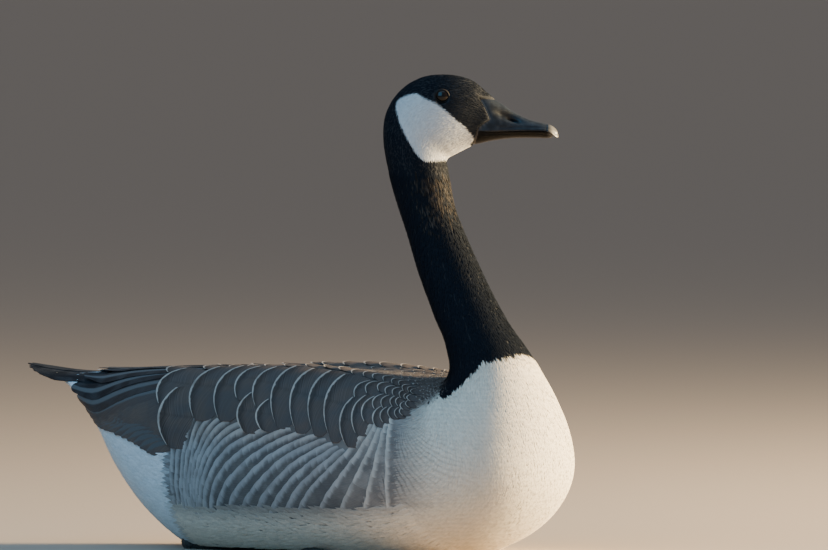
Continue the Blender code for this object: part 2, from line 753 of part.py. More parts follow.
def tail_vane(k, side, rng):
    """One tail feather: the further out, the more it is turned out, rolled down and shortened."""
    turn = Matrix.Rotation(-side * TAIL_YAW * (k + 0.5), 3, "Z")
    roll = side * TAIL_ROLL * (k + 0.5)
    root = Vector((TAIL_ROOT[0], 0, TAIL_ROOT[1] - TAIL_DROP * k))
    tip = Vector((TAIL_TIP[0], 0, TAIL_TIP[1] - TAIL_TIP_DROP * k))
    along = turn @ (tip - root) * (1 - TAIL_SHORTENING * k + TAIL_JITTER * rng.uniform(-1, 1))
    root.y = side * TAIL_ROOT_SPACING * (k + 0.5)
    across = turn @ Vector((0, math.cos(roll), -math.sin(roll)))
    upward = along.cross(across).normalized()
    rows = []
    for part, width in VANE_OUTLINE:
        centre = root + along * part - upward * TAIL_SAG * math.sin(math.pi * part)
        reach = across * TAIL_HALF_WIDTH * width
        middle = centre + upward * VANE_CAMBER * TAIL_HALF_WIDTH
        thickness = TAIL_THICKNESS * (1 - VANE_THINNING * part)
        rows.append((centre - reach, middle, centre + reach, upward, thickness))
    return vane(rows, "tail_vane")


def tail_feathers(tail, rng):
    made = [tail_vane(k, side, rng) for k in range(TAIL_PAIRS) for side in (1, -1)]
    union(tail, made)


def paint(nodes):
    """Give each node its own material."""
    black = (0.012, 0.012, 0.014)
    looks = {
        "head": (black, 0.75),
        "neck_lower": (black, 0.75),
        "neck_upper": (black, 0.75),
        "bill_upper": ((0.02, 0.025, 0.03), 0.35),
        "bill_lower": ((0.015, 0.018, 0.02), 0.4),
        "eye_left": ((0.02, 0.012, 0.01), 0.08),
        "eye_right": ((0.02, 0.012, 0.01), 0.08),
        "torso": ((0.55, 0.50, 0.44), 0.85),
        "wing_left": ((0.16, 0.13, 0.11), 0.7),
        "wing_right": ((0.16, 0.13, 0.11), 0.7),
        "tail": (black, 0.6),
        "leg_left": ((0.03, 0.03, 0.03), 0.55),
        "leg_right": ((0.03, 0.03, 0.03), 0.55),
    }
    for name, (color, roughness) in looks.items():
        nodes[name].data.materials.clear()
        nodes[name].data.materials.append(material(name, color, roughness))


def empty(name, location=(0, 0, 0)):
    made = bpy.data.objects.new(name, None)
    made.location = location
    bpy.data.collections[PART_COLLECTION].objects.link(made)
    return made


def hang_head(nodes):
    """Turn the head, bill and eyes about the upright axis of the neck."""
    pivot = empty("head_pivot", (TURN_X, 0, 0))
    for name in ("head", "bill_upper", "bill_lower", "eye_left", "eye_right"):
        nodes[name].parent = pivot
        nodes[name].matrix_parent_inverse = Matrix.Translation((-TURN_X, 0, 0))
    pivot.rotation_euler.z = HEAD_TURN
    return pivot


def build():
    clear_scene()
    rng = np.random.default_rng(SEED)
    collection(PART_COLLECTION)
    collection(CUTTER_COLLECTION)
    nodes = body_parts()
    whole = nodes.pop("whole")
    surface = BackSurface(whole)
    bpy.data.objects.remove(whole)

    flatten_belly(nodes["torso"])
    tail_feathers(nodes["tail"], rng)
    nodes["leg_right"] = leg(-1, "leg_right", PART_COLLECTION)
    nodes["leg_left"] = mirrored(nodes["leg_right"], "leg_left")
    for side, word in ((1, "left"), (-1, "right")):
        boolean(nodes["torso"], leg(side, "leg_clearance", CUTTER_COLLECTION, GAP), "DIFFERENCE")
        nodes["wing_" + word] = wing(surface, side, "wing_" + word, rng)
        boolean(nodes["torso"], wing_slab(surface, side, "wing_bed", CUTTER_COLLECTION, GAP), "DIFFERENCE")
        nodes["eye_" + word] = eye(side, "eye_" + word)

    head_details(nodes["head"])
    nodes["bill_upper"] = bill(UPPER_BILL_ROWS, "bill_upper", True)
    nodes["bill_lower"] = bill(LOWER_BILL_ROWS, "bill_lower", False)
    nostrils(nodes["bill_upper"])

    paint(nodes)
    root = empty(PART_COLLECTION + "_root")
    hang_head(nodes).parent = root
    for node in nodes.values():
        node.data.shade_smooth()
        if node.parent is None:
            node.parent = root


build()
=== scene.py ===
"""The looks of a resting Canada goose: skin, plumage, bill, eyes, feet and a plain studio."""

import math

import bmesh
import bpy
import numpy as np
from mathutils import Matrix, Vector
from mathutils.kdtree import KDTree


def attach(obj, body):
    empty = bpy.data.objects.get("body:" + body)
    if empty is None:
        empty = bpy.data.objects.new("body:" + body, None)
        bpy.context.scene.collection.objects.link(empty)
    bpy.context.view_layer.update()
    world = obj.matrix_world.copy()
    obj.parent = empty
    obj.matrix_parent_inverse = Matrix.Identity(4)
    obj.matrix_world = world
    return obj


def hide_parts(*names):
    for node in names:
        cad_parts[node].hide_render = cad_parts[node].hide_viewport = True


bl_info = {
    "name": "Canada goose",
    "version": (1, 0, 0),
    "blender": (4, 5, 0),
    "location": "View3D > Sidebar > Goose",
    "description": "Builds the skin, plumage, bill, eyes and feet of a resting goose",
    "category": "Object",
}

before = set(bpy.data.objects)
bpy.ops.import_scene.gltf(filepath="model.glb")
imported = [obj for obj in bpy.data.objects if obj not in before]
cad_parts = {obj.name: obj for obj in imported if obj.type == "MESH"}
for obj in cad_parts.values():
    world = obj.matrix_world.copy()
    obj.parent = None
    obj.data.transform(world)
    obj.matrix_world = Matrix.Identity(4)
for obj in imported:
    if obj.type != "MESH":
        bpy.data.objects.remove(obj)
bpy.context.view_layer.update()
BODY = "root"

# The turn of the neck about an upright axis
HEAD_TURN = math.radians(36)
TURN_X = 0.070
TURN_START_Z = 0.170
TURN_END_Z = 0.300

# Sections of the body from tail to bill: top (x, z), bottom (x, z), half width, fullness
BODY_ROWS = (
    (-0.276, 0.1395, -0.275, 0.1340, 0.024, 2.0),
    (-0.260, 0.1405, -0.254, 0.1195, 0.033, 2.0),
    (-0.242, 0.1415, -0.234, 0.0980, 0.039, 2.0),
    (-0.225, 0.1425, -0.214, 0.0710, 0.047, 2.0),
    (-0.205, 0.1435, -0.194, 0.0420, 0.057, 2.1),
    (-0.170, 0.1455, -0.160, 0.0130, 0.074, 2.2),
    (-0.120, 0.1470, -0.118, -0.0080, 0.091, 2.2),
    (-0.060, 0.1480, -0.058, -0.0120, 0.102, 2.3),
    (0.000, 0.1480, 0.005, -0.0120, 0.107, 2.3),
    (0.050, 0.1465, 0.065, -0.0110, 0.107, 2.2),
    (0.085, 0.1440, 0.115, -0.0050, 0.102, 2.2),
    (0.101, 0.1430, 0.155, 0.0080, 0.094, 2.2),
    (0.109, 0.1430, 0.186, 0.0290, 0.083, 2.1),
    (0.1120, 0.1440, 0.203, 0.0560, 0.072, 2.1),
    (0.1128, 0.1460, 0.205, 0.0880, 0.062, 2.0),
    (0.1125, 0.1485, 0.196, 0.1200, 0.051, 2.0),
    (0.1115, 0.1520, 0.183, 0.1460, 0.042, 2.0),
    (0.1080, 0.1590, 0.1680, 0.1680, 0.035, 2.0),
    (0.1030, 0.1710, 0.1520, 0.1870, 0.030, 2.0),
    (0.0920, 0.1870, 0.1320, 0.2140, 0.0262, 2.0),
    (0.0735, 0.2211, 0.1152, 0.2429, 0.0238, 2.0),
    (0.0615, 0.2553, 0.1020, 0.2727, 0.0227, 2.0),
    (0.0518, 0.2852, 0.0972, 0.2948, 0.0230, 2.0),
    (0.0452, 0.3120, 0.0955, 0.3065, 0.0236, 2.0),
    (0.0428, 0.3300, 0.0942, 0.3110, 0.0240, 2.0),
    (0.0440, 0.3470, 0.0945, 0.3135, 0.0245, 2.0),
    (0.0505, 0.3615, 0.0965, 0.3153, 0.0250, 2.0),
    (0.0618, 0.3732, 0.0995, 0.3168, 0.0252, 2.1),
    (0.0760, 0.3800, 0.1030, 0.3186, 0.0245, 2.1),
    (0.0910, 0.3816, 0.1070, 0.3207, 0.0228, 2.1),
    (0.1040, 0.3802, 0.1110, 0.3228, 0.0205, 2.1),
    (0.1155, 0.3761, 0.1155, 0.3245, 0.0178, 2.1),
    (0.1243, 0.3688, 0.1205, 0.3258, 0.0155, 2.0),
    (0.1360, 0.3590, 0.1330, 0.3290, 0.0120, 2.0),
)
HEAD_ROW = 23.0
BELLY_Z = 0.0030

# How fine the skin, the bill and the feathers' lines are, and how wide each feather's patch for baking is
STEPS_PER_ROW, POINTS_ROUND = 12, 128
BILL_STEPS, BILL_POINTS_ROUND = 12, 96
LINE_STEPS = 8
PATCH = 0.003

# Bill, from its base inside the head to the nail: x, top z, bottom z, half width
UPPER_BILL_ROWS = (
    (0.1120, 0.3722, 0.3372, 0.0118),
    (0.1200, 0.3676, 0.3370, 0.0123),
    (0.1260, 0.3643, 0.3368, 0.0128),
    (0.1318, 0.3613, 0.3366, 0.0126),
    (0.1388, 0.3571, 0.3366, 0.0119),
    (0.1466, 0.3514, 0.3367, 0.0110),
    (0.1584, 0.3458, 0.3368, 0.0103),
    (0.1702, 0.3426, 0.3366, 0.0097),
    (0.1760, 0.3411, 0.3350, 0.0084),
    (0.1796, 0.3388, 0.3322, 0.0062),
    (0.1816, 0.3362, 0.3311, 0.0040),
    (0.1824, 0.3336, 0.3313, 0.0014),
)
LOWER_BILL_ROWS = (
    (0.1100, 0.3376, 0.3252, 0.0126),
    (0.1190, 0.3368, 0.3262, 0.0122),
    (0.1309, 0.3362, 0.3288, 0.0110),
    (0.1466, 0.3363, 0.3306, 0.0098),
    (0.1640, 0.3363, 0.3308, 0.0088),
    (0.1735, 0.3356, 0.3306, 0.0072),
    (0.1780, 0.3342, 0.3312, 0.0045),
)

# Border between the feathers of the head and the bill, in (x, z) with the head straight ahead
BILL_BORDER = (
    (0.1420, 0.3700), (0.1345, 0.3616), (0.1196, 0.3638), (0.1245, 0.3550),
    (0.1283, 0.3457), (0.1190, 0.3392), (0.1150, 0.3240), (0.1150, 0.3100),
)
BILL_REGION = (*BILL_BORDER, (0.30, 0.31), (0.30, 0.37))

EYE_CENTRE = (0.0902, 0.0152, 0.3642)

# Outline of the white cheek patch, in (x, z) with the head straight ahead
CHEEK_OUTLINE = (
    (0.0678, 0.3660), (0.0542, 0.3596), (0.0558, 0.3452), (0.0622, 0.3308), (0.0694, 0.3188),
    (0.0766, 0.3125), (0.0890, 0.3130), (0.1000, 0.3140), (0.1100, 0.3180), (0.1130, 0.3260),
    (0.1150, 0.3308), (0.1078, 0.3396), (0.0974, 0.3484), (0.0870, 0.3572), (0.0766, 0.3620),
)

# Where the black of the neck ends: (degrees from the back's midline, row)
NECK_BORDER = ((0, 13.2), (52, 13.38), (60, 13.62), (71, 14.5), (90, 15.5), (116, 16.38), (150, 16.5),
               (180, 16.65))

# Where the flight feathers end below: (row, degrees)
QUILL_BORDER = ((0.0, 0), (1.2, 0), (1.5, 76), (2.3, 96), (2.9, 95), (3.6, 87), (4.2, 81), (4.8, 79),
                (6.3, 84))


def smoothstep(low, high, value):
    part = np.clip((value - low) / (high - low), 0, 1)
    return part * part * (3 - 2 * part)


def read(table, at):
    """The value at each place of a table of (place, value) pairs."""
    return np.interp(at, *zip(*table))


def smooth_rows(rows, steps):
    """The rows with more between them, on a Catmull-Rom curve through each column."""
    table = np.array(rows)
    padded = np.vstack([2 * table[0] - table[1], table, 2 * table[-1] - table[-2]])
    part = (np.arange(steps) / steps)[:, None]
    found = []
    for before, start, end, after in zip(padded, padded[1:], padded[2:], padded[3:]):
        found.append(
            0.5 * (2 * start + (end - before) * part
                   + (2 * before - 5 * start + 4 * end - after) * part ** 2
                   + (3 * start - before - 3 * end + after) * part ** 3)
        )
    found.append(padded[-2:-1])
    return np.vstack(found)


def rounded(value, fullness):
    return np.sign(value) * np.abs(value) ** (2 / fullness)


def turned(points):
    """Where points of the straight body go when the head is turned to its left."""
    angle = HEAD_TURN * smoothstep(TURN_START_Z, TURN_END_Z, points[..., 2])
    away = points[..., 0] - TURN_X
    moved = points.copy()
    moved[..., 0] = TURN_X + away * np.cos(angle) - points[..., 1] * np.sin(angle)
    moved[..., 1] = away * np.sin(angle) + points[..., 1] * np.cos(angle)
    return moved


def rounded_outline(outline, steps=6):
    """A closed outline with its corners rounded."""
    closed = smooth_rows((outline[-1], *outline, outline[0], outline[1]), steps)
    return closed[steps:-steps - 1]


def unit(vectors):
    return vectors / (np.linalg.norm(vectors, axis=-1, keepdims=True) + 1e-12)


def outline_distance(points, outline):
    """Distance to an outline seen from the side, below zero inside it."""
    x, z = points[..., 0], points[..., 2]
    corners = np.array(outline)
    inside = np.zeros(x.shape, bool)
    nearest = np.full(x.shape, 1e9)
    for (ax, az), (bx, bz) in zip(corners, np.roll(corners, -1, axis=0)):
        run, rise = bx - ax, bz - az
        part = np.clip(((x - ax) * run + (z - az) * rise) / (run ** 2 + rise ** 2), 0, 1)
        nearest = np.minimum(nearest, np.hypot(x - ax - part * run, z - az - part * rise))
        crosses = (az > z) != (bz > z)
        inside ^= crosses & (x < run * (z - az) / (rise + 1e-12) + ax)
    return np.where(inside, -nearest, nearest)


class Chart:
    """A surface as a grid of rings. u counts rows from tail to bill and v goes round once from the back."""

    def __init__(self, straight):
        points = turned(straight)
        along = np.gradient(points, axis=0) * STEPS_PER_ROW
        around = (np.roll(points, -1, axis=1) - np.roll(points, 1, axis=1)) * POINTS_ROUND / 2
        points[..., 2] = np.maximum(points[..., 2], BELLY_Z)
        self.points = points
        self.straight = straight
        self.data = np.concatenate([points, unit(np.cross(along, around)), along, around, straight], axis=2)

    def at(self, u, v):
        """Point, normal, change along, change around and straight point at each (u, v)."""
        row = np.clip(u * STEPS_PER_ROW, 0, len(self.data) - 1 - 1e-4)
        column = (v % 1) * POINTS_ROUND
        i = row.astype(int)
        j = column.astype(int) % POINTS_ROUND
        after = (j + 1) % POINTS_ROUND
        f = (row - i)[..., None]
        g = (column - np.floor(column))[..., None]
        found = (self.data[i, j] * (1 - f) * (1 - g) + self.data[i + 1, j] * f * (1 - g)
                 + self.data[i, after] * (1 - f) * g + self.data[i + 1, after] * f * g)
        point, normal, along, around, straight = np.split(found, 5, axis=-1)
        return point, unit(normal), along, around, straight


def straight_body():
    """The rings of the body with its head straight ahead."""
    rows = smooth_rows(BODY_ROWS, STEPS_PER_ROW)
    top_x, top_z, bottom_x, bottom_z, half_width, fullness = rows.T[..., None]
    angle = 2 * math.pi * np.arange(POINTS_ROUND) / POINTS_ROUND
    rise = rounded(np.cos(angle), fullness)
    x = (top_x + bottom_x) / 2 + (top_x - bottom_x) / 2 * rise
    z = (top_z + bottom_z) / 2 + (top_z - bottom_z) / 2 * rise
    return np.stack([x, half_width * rounded(np.sin(angle), fullness), z], axis=2)


def degrees_down(v):
    """The angle from the midline of the back, the same on both sides."""
    return 360 * np.minimum(v % 1, 1 - v % 1)


# How far the folded wings stand out from the body as (row, height), their span in degrees and their lean
WING_BULGE = ((3.0, 0.0), (4.5, 0.004), (6.5, 0.007), (8.0, 0.011), (9.5, 0.007), (10.8, 0.0))
WING_SPAN = (8.0, 78.0)
WING_LEAN = 0.8

# How far the skin lies under the plumage as (row, depth), and how far it sinks at the bill and the eyes
COAT_DEPTH = ((0.0, 0.0022), (4.0, 0.0030), (14.0, 0.0030), (17.0, 0.0018), (23.0, 0.0009), (33.0, 0.0005))
BILL_SINK, BILL_SINK_EDGE = 0.0035, (0.0003, -0.0010)
SOCKET_SINK, SOCKET_EDGE = 0.0050, (0.0058, 0.0044)


def skin_rings():
    """The rings of the skin: the body and its wings, drawn in by the depth of the coat."""
    straight = straight_body()
    around = np.roll(straight, -1, axis=1) - np.roll(straight, 1, axis=1)
    normal = unit(np.cross(np.gradient(straight, axis=0), around))
    u = np.arange(len(straight))[:, None] / STEPS_PER_ROW
    degrees = degrees_down(np.arange(POINTS_ROUND) / POINTS_ROUND)
    part = np.clip((degrees - WING_SPAN[0]) / (WING_SPAN[1] - WING_SPAN[0]), 0, 1)
    rise = read(WING_BULGE, u) * np.sin(math.pi * part ** WING_LEAN) - read(COAT_DEPTH, u)
    bill = smoothstep(*BILL_SINK_EDGE, outline_distance(straight, BILL_REGION)) * (u > HEAD_ROW)
    rise -= BILL_SINK * bill
    from_eye = np.hypot(straight[..., 0] - EYE_CENTRE[0], straight[..., 2] - EYE_CENTRE[2])
    rise -= SOCKET_SINK * smoothstep(*SOCKET_EDGE, from_eye)
    return straight + normal * rise[..., None]


CHEEK = rounded_outline(CHEEK_OUTLINE)
CHART = Chart(skin_rings())

# The bend of the wing, in (x, z)
WING_BEND = CHART.at(np.array(11.2), np.array(54 / 360))[4][[0, 2]].tolist()


def loft_grid(rings, name):
    """A surface through rings of points, closed round and at both ends."""
    rows, columns = rings.shape[:2]
    bm = bmesh.new()
    bmesh.ops.create_grid(bm, x_segments=columns, y_segments=rows - 1, size=1.0)
    for vert in bm.verts:
        row = round((vert.co.y + 1) / 2 * (rows - 1))
        column = round((vert.co.x + 1) / 2 * columns) % columns
        vert.co = rings[row, column]
    bmesh.ops.remove_doubles(bm, verts=bm.verts, dist=1e-7)
    bmesh.ops.holes_fill(bm, edges=[edge for edge in bm.edges if edge.is_boundary], sides=0)
    bmesh.ops.recalc_face_normals(bm, faces=bm.faces)
    return object_from(bm, name)


def object_from(bm, name):
    """An object from a bmesh, which is freed."""
    mesh = bpy.data.meshes.new(name)
    bm.to_mesh(mesh)
    bm.free()
    return piece_from(mesh, name)


def piece_from(mesh, name):
    """A smooth-shaded object that rides on the body."""
    mesh.shade_smooth()
    made = bpy.data.objects.new(name, mesh)
    bpy.context.scene.collection.objects.link(made)
    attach(made, BODY)
    return made


def set_color(mesh, name, colors):
    """A colour for each point of the mesh, as an attribute."""
    attribute = mesh.color_attributes.new(name, "FLOAT_COLOR", "POINT")
    rgba = np.ones((len(colors), 4), np.float32)
    rgba[:, :3] = colors
    attribute.data.foreach_set("color", rgba.ravel())


def finder_of(points):
    """A search tree of these points."""
    finder = KDTree(len(points))
    for k, point in enumerate(points):
        finder.insert(point, k)
    finder.balance()
    return finder


def grid_places(mesh, grid):
    """Which point of the grid lies nearest to each point of the mesh."""
    finder = finder_of(grid.reshape(-1, 3))
    return np.array([finder.find(vert.co)[1] for vert in mesh.vertices])


def color_property(name, description, default):
    return bpy.props.FloatVectorProperty(
        name=name, description=description, default=default, subtype="COLOR", size=3, min=0.0, max=1.0)


def length_property(name, description, default):
    return bpy.props.FloatProperty(
        name=name, description=description, default=default, min=0.001, unit="LENGTH")


def angle_property(name, description, degrees):
    return bpy.props.FloatProperty(
        name=name, description=description, default=math.radians(degrees), subtype="ANGLE")


class GooseColors(bpy.types.PropertyGroup):
    """The colours of the plumage"""

    # The black's blue tint is painted sheen: it stands in for a cool reflection on the black plumage
    black: color_property("Black", "Crown, neck, rump and tail", (0.0060, 0.0085, 0.0135))
    cheek: color_property("Cheek", "Patch on the cheeks", (0.66, 0.67, 0.67))
    breast: color_property("Breast", "Breast and belly", (0.80, 0.73, 0.62))
    vent: color_property("Vent", "Feathers under the tail", (0.76, 0.82, 0.86))
    flank: color_property("Flank", "Ground colour of the flanks", (0.165, 0.157, 0.153))
    flank_edge: color_property("Flank edge", "Pale ends of the flank feathers", (0.34, 0.34, 0.345))
    shoulder: color_property("Shoulder", "Ground colour in front of the wing", (0.30, 0.28, 0.265))
    shoulder_edge: color_property("Shoulder edge", "Pale feather ends before the wing", (0.47, 0.45, 0.42))
    back: color_property("Back", "Ground colour of the wings and back", (0.118, 0.091, 0.080))
    back_edge: color_property("Back edge", "Pale feather ends of the wings and back", (0.42, 0.37, 0.33))


class GooseSizes(bpy.types.PropertyGroup):
    """Sizes of feathers, eyes and the picture"""

    eye_radius: length_property("Eye radius", "Radius of each eyeball", 0.0068)
    flank_reach: length_property("Flank reach", "Length of each band of the flank", 0.105)
    tail_half_width: length_property("Tail half width", "Half the width of a tail feather", 0.0078)
    camera_azimuth: angle_property("Camera azimuth", "Turn of the camera round the bird", 36)
    camera_elevation: angle_property("Camera elevation", "Angle of the camera above the floor", 1.5)
    camera_distance: length_property("Camera distance", "From the camera to the bird", 10.0)


def paint(word):
    """A colour of the plumage."""
    return np.array(getattr(bpy.context.scene.goose_colors, word))


# Where the colours meet, from none to full: rows, or degrees down from the midline of the back
BACK_SIDE = (78, 62)
SHOULDER_FRONT, SHOULDER_SIDE = (9.2, 10.4), (48, 56)
BREAST_FRONT, BREAST_SIDE = (10.9, 12.8), (42, 56)
BELLY_SIDE = (104, 125)
REAR_FRONT = (6.2, 6.0)
BAND_FRONT, BAND_SIDE = (2.2, 1.9), (18, 14)
CHEEK_EDGE = (0.0008, -0.0008)


def markings(u, v, straight):
    """The plumage's ground colour and the colour of its edges, at each place on the body."""
    degrees = degrees_down(v)
    back = smoothstep(*BACK_SIDE, degrees)
    shoulder = smoothstep(*SHOULDER_FRONT, u + 0.012 * (degrees - 60)) * smoothstep(*SHOULDER_SIDE, degrees)
    breast = smoothstep(*BREAST_FRONT, u + 0.02 * (degrees - 60)) * smoothstep(*BREAST_SIDE, degrees)
    pale = np.maximum(breast, smoothstep(*BELLY_SIDE, degrees))
    rear = smoothstep(*REAR_FRONT, u)
    below = read(QUILL_BORDER, u)
    band = smoothstep(*BAND_FRONT, u) * smoothstep(*BAND_SIDE, degrees)
    vent = rear * np.maximum(smoothstep(below - 5, below - 1, degrees), band)
    border = read(NECK_BORDER, degrees)
    black = smoothstep(border - 0.03, border + 0.03, u)
    cheek = smoothstep(*CHEEK_EDGE, outline_distance(straight, CHEEK)) * (u > HEAD_ROW - 2)
    ground = np.broadcast_to(paint("flank"), (*np.shape(u), 3))
    edge = np.broadcast_to(paint("flank_edge"), (*np.shape(u), 3))
    for mask, ground_word, edge_word in (
        (back, "back", "back_edge"),
        (shoulder, "shoulder", "shoulder_edge"),
        (pale, "breast", "breast"),
        (vent, "vent", "vent"),
        (rear * (1 - vent), "black", "black"),
        (black, "black", "black"),
        (cheek, "cheek", "cheek"),
    ):
        ground = ground + (paint(ground_word) - ground) * mask[..., None]
        edge = edge + (paint(edge_word) - edge) * mask[..., None]
    return ground, edge


def in_chart(step, along, around):
    """A tangent vector as changes of u and v."""
    aa, ab, bb = ((a * b).sum(-1) for a, b in ((along, along), (along, around), (around, around)))
    sa, sb = ((step * a).sum(-1) for a in (along, around))
    scale = aa * bb - ab * ab + 1e-18
    return (sa * bb - sb * ab) / scale, (sb * aa - sa * ab) / scale


def walk(u, v, heading, length, steps=LINE_STEPS):
    """Lines on the skin from each (u, v). The heading is 0 towards the tail and positive upwards."""
    places = [(u, v)]
    stride = np.broadcast_to(length, u.shape)[:, None] / steps
    for _ in range(steps):
        _, normal, along, around, _ = CHART.at(u, v)
        angle = np.broadcast_to(heading(u, v) if callable(heading) else heading, u.shape)[:, None]
        tailward = unit(-along)
        upward = np.cross(normal, tailward) * np.where(v % 1 < 0.5, 1, -1)[:, None]
        du, dv = in_chart((tailward * np.cos(angle) + upward * np.sin(angle)) * stride, along, around)
        u = np.clip(u + du, 0, len(BODY_ROWS) - 1)
        v = v + dv
        places.append((u, v))
    us, vs = zip(*places)
    return np.stack(us, axis=1), np.stack(vs, axis=1)


def walk_to(u, v, heading, length):
    """Lines that end at each (u, v) instead of starting there."""
    def back(at_u, at_v):
        return (heading(at_u, at_v) if callable(heading) else heading) + math.pi

    us, vs = walk(u, v, back, length)
    return us[:, ::-1], vs[:, ::-1]


class Vane:
    """The plan of one feather, a thin closed sheet: the places of its points across and along it."""

    def __init__(self, across, along):
        bm = bmesh.new()
        bmesh.ops.create_grid(bm, x_segments=across, y_segments=along, size=1.0)
        bmesh.ops.solidify(bm, geom=bm.faces[:], thickness=0.5)
        bmesh.ops.recalc_face_normals(bm, faces=bm.faces)
        self.across, place, height = np.array([vert.co for vert in bm.verts]).T
        self.part = ((place + 1) / 2) ** 0.8
        self.hump = 1 - self.across ** 2
        self.under = (height < height.mean()).astype(float)
        self.corners = read_corners(bm)


# Half the width of a triangle whose corners are 1 from its centre
TRIANGLE_HALF = 0.866


class Plume:
    """The plan of one hair-like plume: a three-sided sliver that ends in a point, with one corner up."""

    def __init__(self):
        bm = bmesh.new()
        bmesh.ops.create_cone(bm, cap_ends=True, segments=3, radius1=1.0, radius2=0.0, depth=1.0)
        bmesh.ops.remove_doubles(bm, verts=bm.verts, dist=1e-4)
        bmesh.ops.bisect_plane(bm, geom=bm.verts[:] + bm.edges[:] + bm.faces[:], plane_co=(0, 0, 0),
                               plane_no=(0, 0, 1), dist=1e-5)
        bmesh.ops.triangulate(bm, faces=bm.faces)
        bmesh.ops.recalc_face_normals(bm, faces=bm.faces)
        side, top, place = np.array([vert.co for vert in bm.verts]).T
        self.part = place + 0.5
        radius = np.maximum(1 - self.part, 1e-6)
        self.across = -side / radius / TRIANGLE_HALF
        self.hump = (top / radius > 0.9).astype(float)
        self.under = np.zeros(len(place))
        self.corners = read_corners(bm)


# Where the edges of a feather shade sharply, and how many roots are tried for each one that is kept
SHARP_ANGLE = math.radians(60)
TRIES, LEAST_APART = 3.0, 0.80


def read_corners(bm):
    """The point numbers of each face of a bmesh, which is freed, in an order that is the same each run."""
    bm.verts.index_update()
    corners = [[vert.index for vert in face.verts] for face in bm.faces]
    bm.free()
    starts = [face.index(min(face)) for face in corners]
    return np.array(sorted(face[start:] + face[:start] for face, start in zip(corners, starts)))


def lay(name, plan, lines, half_width, look, colors):
    """One object of many feathers, each following its own line on the skin from root to tip."""
    us, vs = lines
    last = us.shape[1] - 2
    down = plan.across * np.where(vs[:, :1] % 1 < 0.5, 1, -1)
    blunt = plan.part ** 2
    part = plan.part - look.get("bow", 0) * plan.across ** 2 * blunt + look.get("skew", 0) * down * blunt
    place = part * (last + 1)
    index = np.clip(place.astype(int), 0, last)
    pick = np.arange(len(us))[:, None]
    step_u = us[pick, index + 1] - us[pick, index]
    step_v = vs[pick, index + 1] - vs[pick, index]
    spine_u = us[pick, index] + step_u * (place - index)
    spine_v = vs[pick, index] + step_v * (place - index)
    _, normal, along, around, _ = CHART.at(spine_u, spine_v)
    direction = unit(along * step_u[..., None] + around * step_v[..., None])
    width = look["shape"](plan.part) * half_width[:, None]
    du, dv = in_chart(np.cross(direction, normal) * (plan.across * width)[..., None], along, around)
    point, normal, _, _, _ = CHART.at(spine_u + du, spine_v + dv)
    height = look["base"] + look["rise"] * part + look.get("camber", 0) * width * plan.hump
    thickness = look.get("thickness", 0) * plan.under * (1 - 0.5 * plan.part)
    points = point + normal * (height + look.get("tilt", 0) * down - thickness)[..., None]
    points[..., 2] = np.maximum(points[..., 2], 0.0)
    return joined(name, plan, points.reshape(-1, 3), us[:, 0], vs[:, 0] % 1, colors)


def joined(name, plan, points, u, v, colors):
    """The mesh of many like feathers, with their colours, their own UV map and the patches for baking."""
    count, size = len(u), len(plan.across)
    corners = (plan.corners[None] + np.arange(count)[:, None, None] * size).reshape(-1)
    sides = plan.corners.shape[1]
    mesh = bpy.data.meshes.new(name)
    mesh.vertices.add(len(points))
    mesh.vertices.foreach_set("co", points.astype(np.float32).ravel())
    mesh.loops.add(len(corners))
    mesh.loops.foreach_set("vertex_index", corners.astype(np.int32))
    mesh.polygons.add(len(corners) // sides)
    mesh.polygons.foreach_set("loop_start", np.arange(0, len(corners), sides, dtype=np.int32))
    mesh.update(calc_edges=True)
    down = plan.across * np.where(v[:, None] < 0.5, 1, -1)
    own = np.stack([down * 0.5 + 0.5, np.broadcast_to(plan.part, down.shape)], axis=2)
    low = np.array((u.min(), v.min()))
    span = np.array((u.max(), v.max())) - low + 1e-9
    roots = PATCH + (1 - 2 * PATCH) * (np.stack([u, v], axis=1) - low) / span
    patches = roots[:, None] + (own - 0.5) * PATCH
    for word, places in (("Vane", own), ("OFBake", patches)):
        layer = mesh.uv_layers.new(name=word)
        layer.data.foreach_set("uv", places.reshape(-1, 2)[corners].astype(np.float32).ravel())
    for word, values in colors.items():
        set_color(mesh, word, np.repeat(values, size, axis=0))
    made = piece_from(mesh, name)
    mesh.set_sharp_from_angle(angle=SHARP_ANGLE)
    return made


def scatter(rng, spacing, keep, rows):
    """Roots spread evenly over the skin between two rows where keep holds, about spacing apart."""
    rings = np.arange(rows[0], rows[1], 1 / STEPS_PER_ROW)
    u, v = np.meshgrid(rings, np.arange(POINTS_ROUND) / POINTS_ROUND, indexing="ij")
    _, _, along, around, _ = CHART.at(u, v)
    weight = np.linalg.norm(np.cross(along, around), axis=2) / STEPS_PER_ROW / POINTS_ROUND / spacing ** 2
    chosen = rng.choice(weight.size, int(weight.sum() * TRIES), p=(weight / weight.sum()).ravel())
    u = u.ravel()[chosen] + rng.uniform(0, 1, len(chosen)) / STEPS_PER_ROW
    v = v.ravel()[chosen] + rng.uniform(0, 1, len(chosen)) / POINTS_ROUND
    u = np.clip(u, rows[0], rows[1])
    point, _, _, _, straight = CHART.at(u, v)
    kept = keep(u, degrees_down(v), straight)
    u, v, point = u[kept], v[kept] % 1, point[kept]
    chosen = thin_out(point, spacing * LEAST_APART)
    return u[chosen], v[chosen]


def thin_out(points, apart):
    """The points left when none may lie nearer than apart to an earlier one."""
    finder = finder_of(points)
    alive = np.ones(len(points), bool)
    for k, point in enumerate(points):
        if alive[k]:
            for _, other, _ in finder.find_range(point, apart):
                if other > k:
                    alive[other] = False
    return np.flatnonzero(alive)


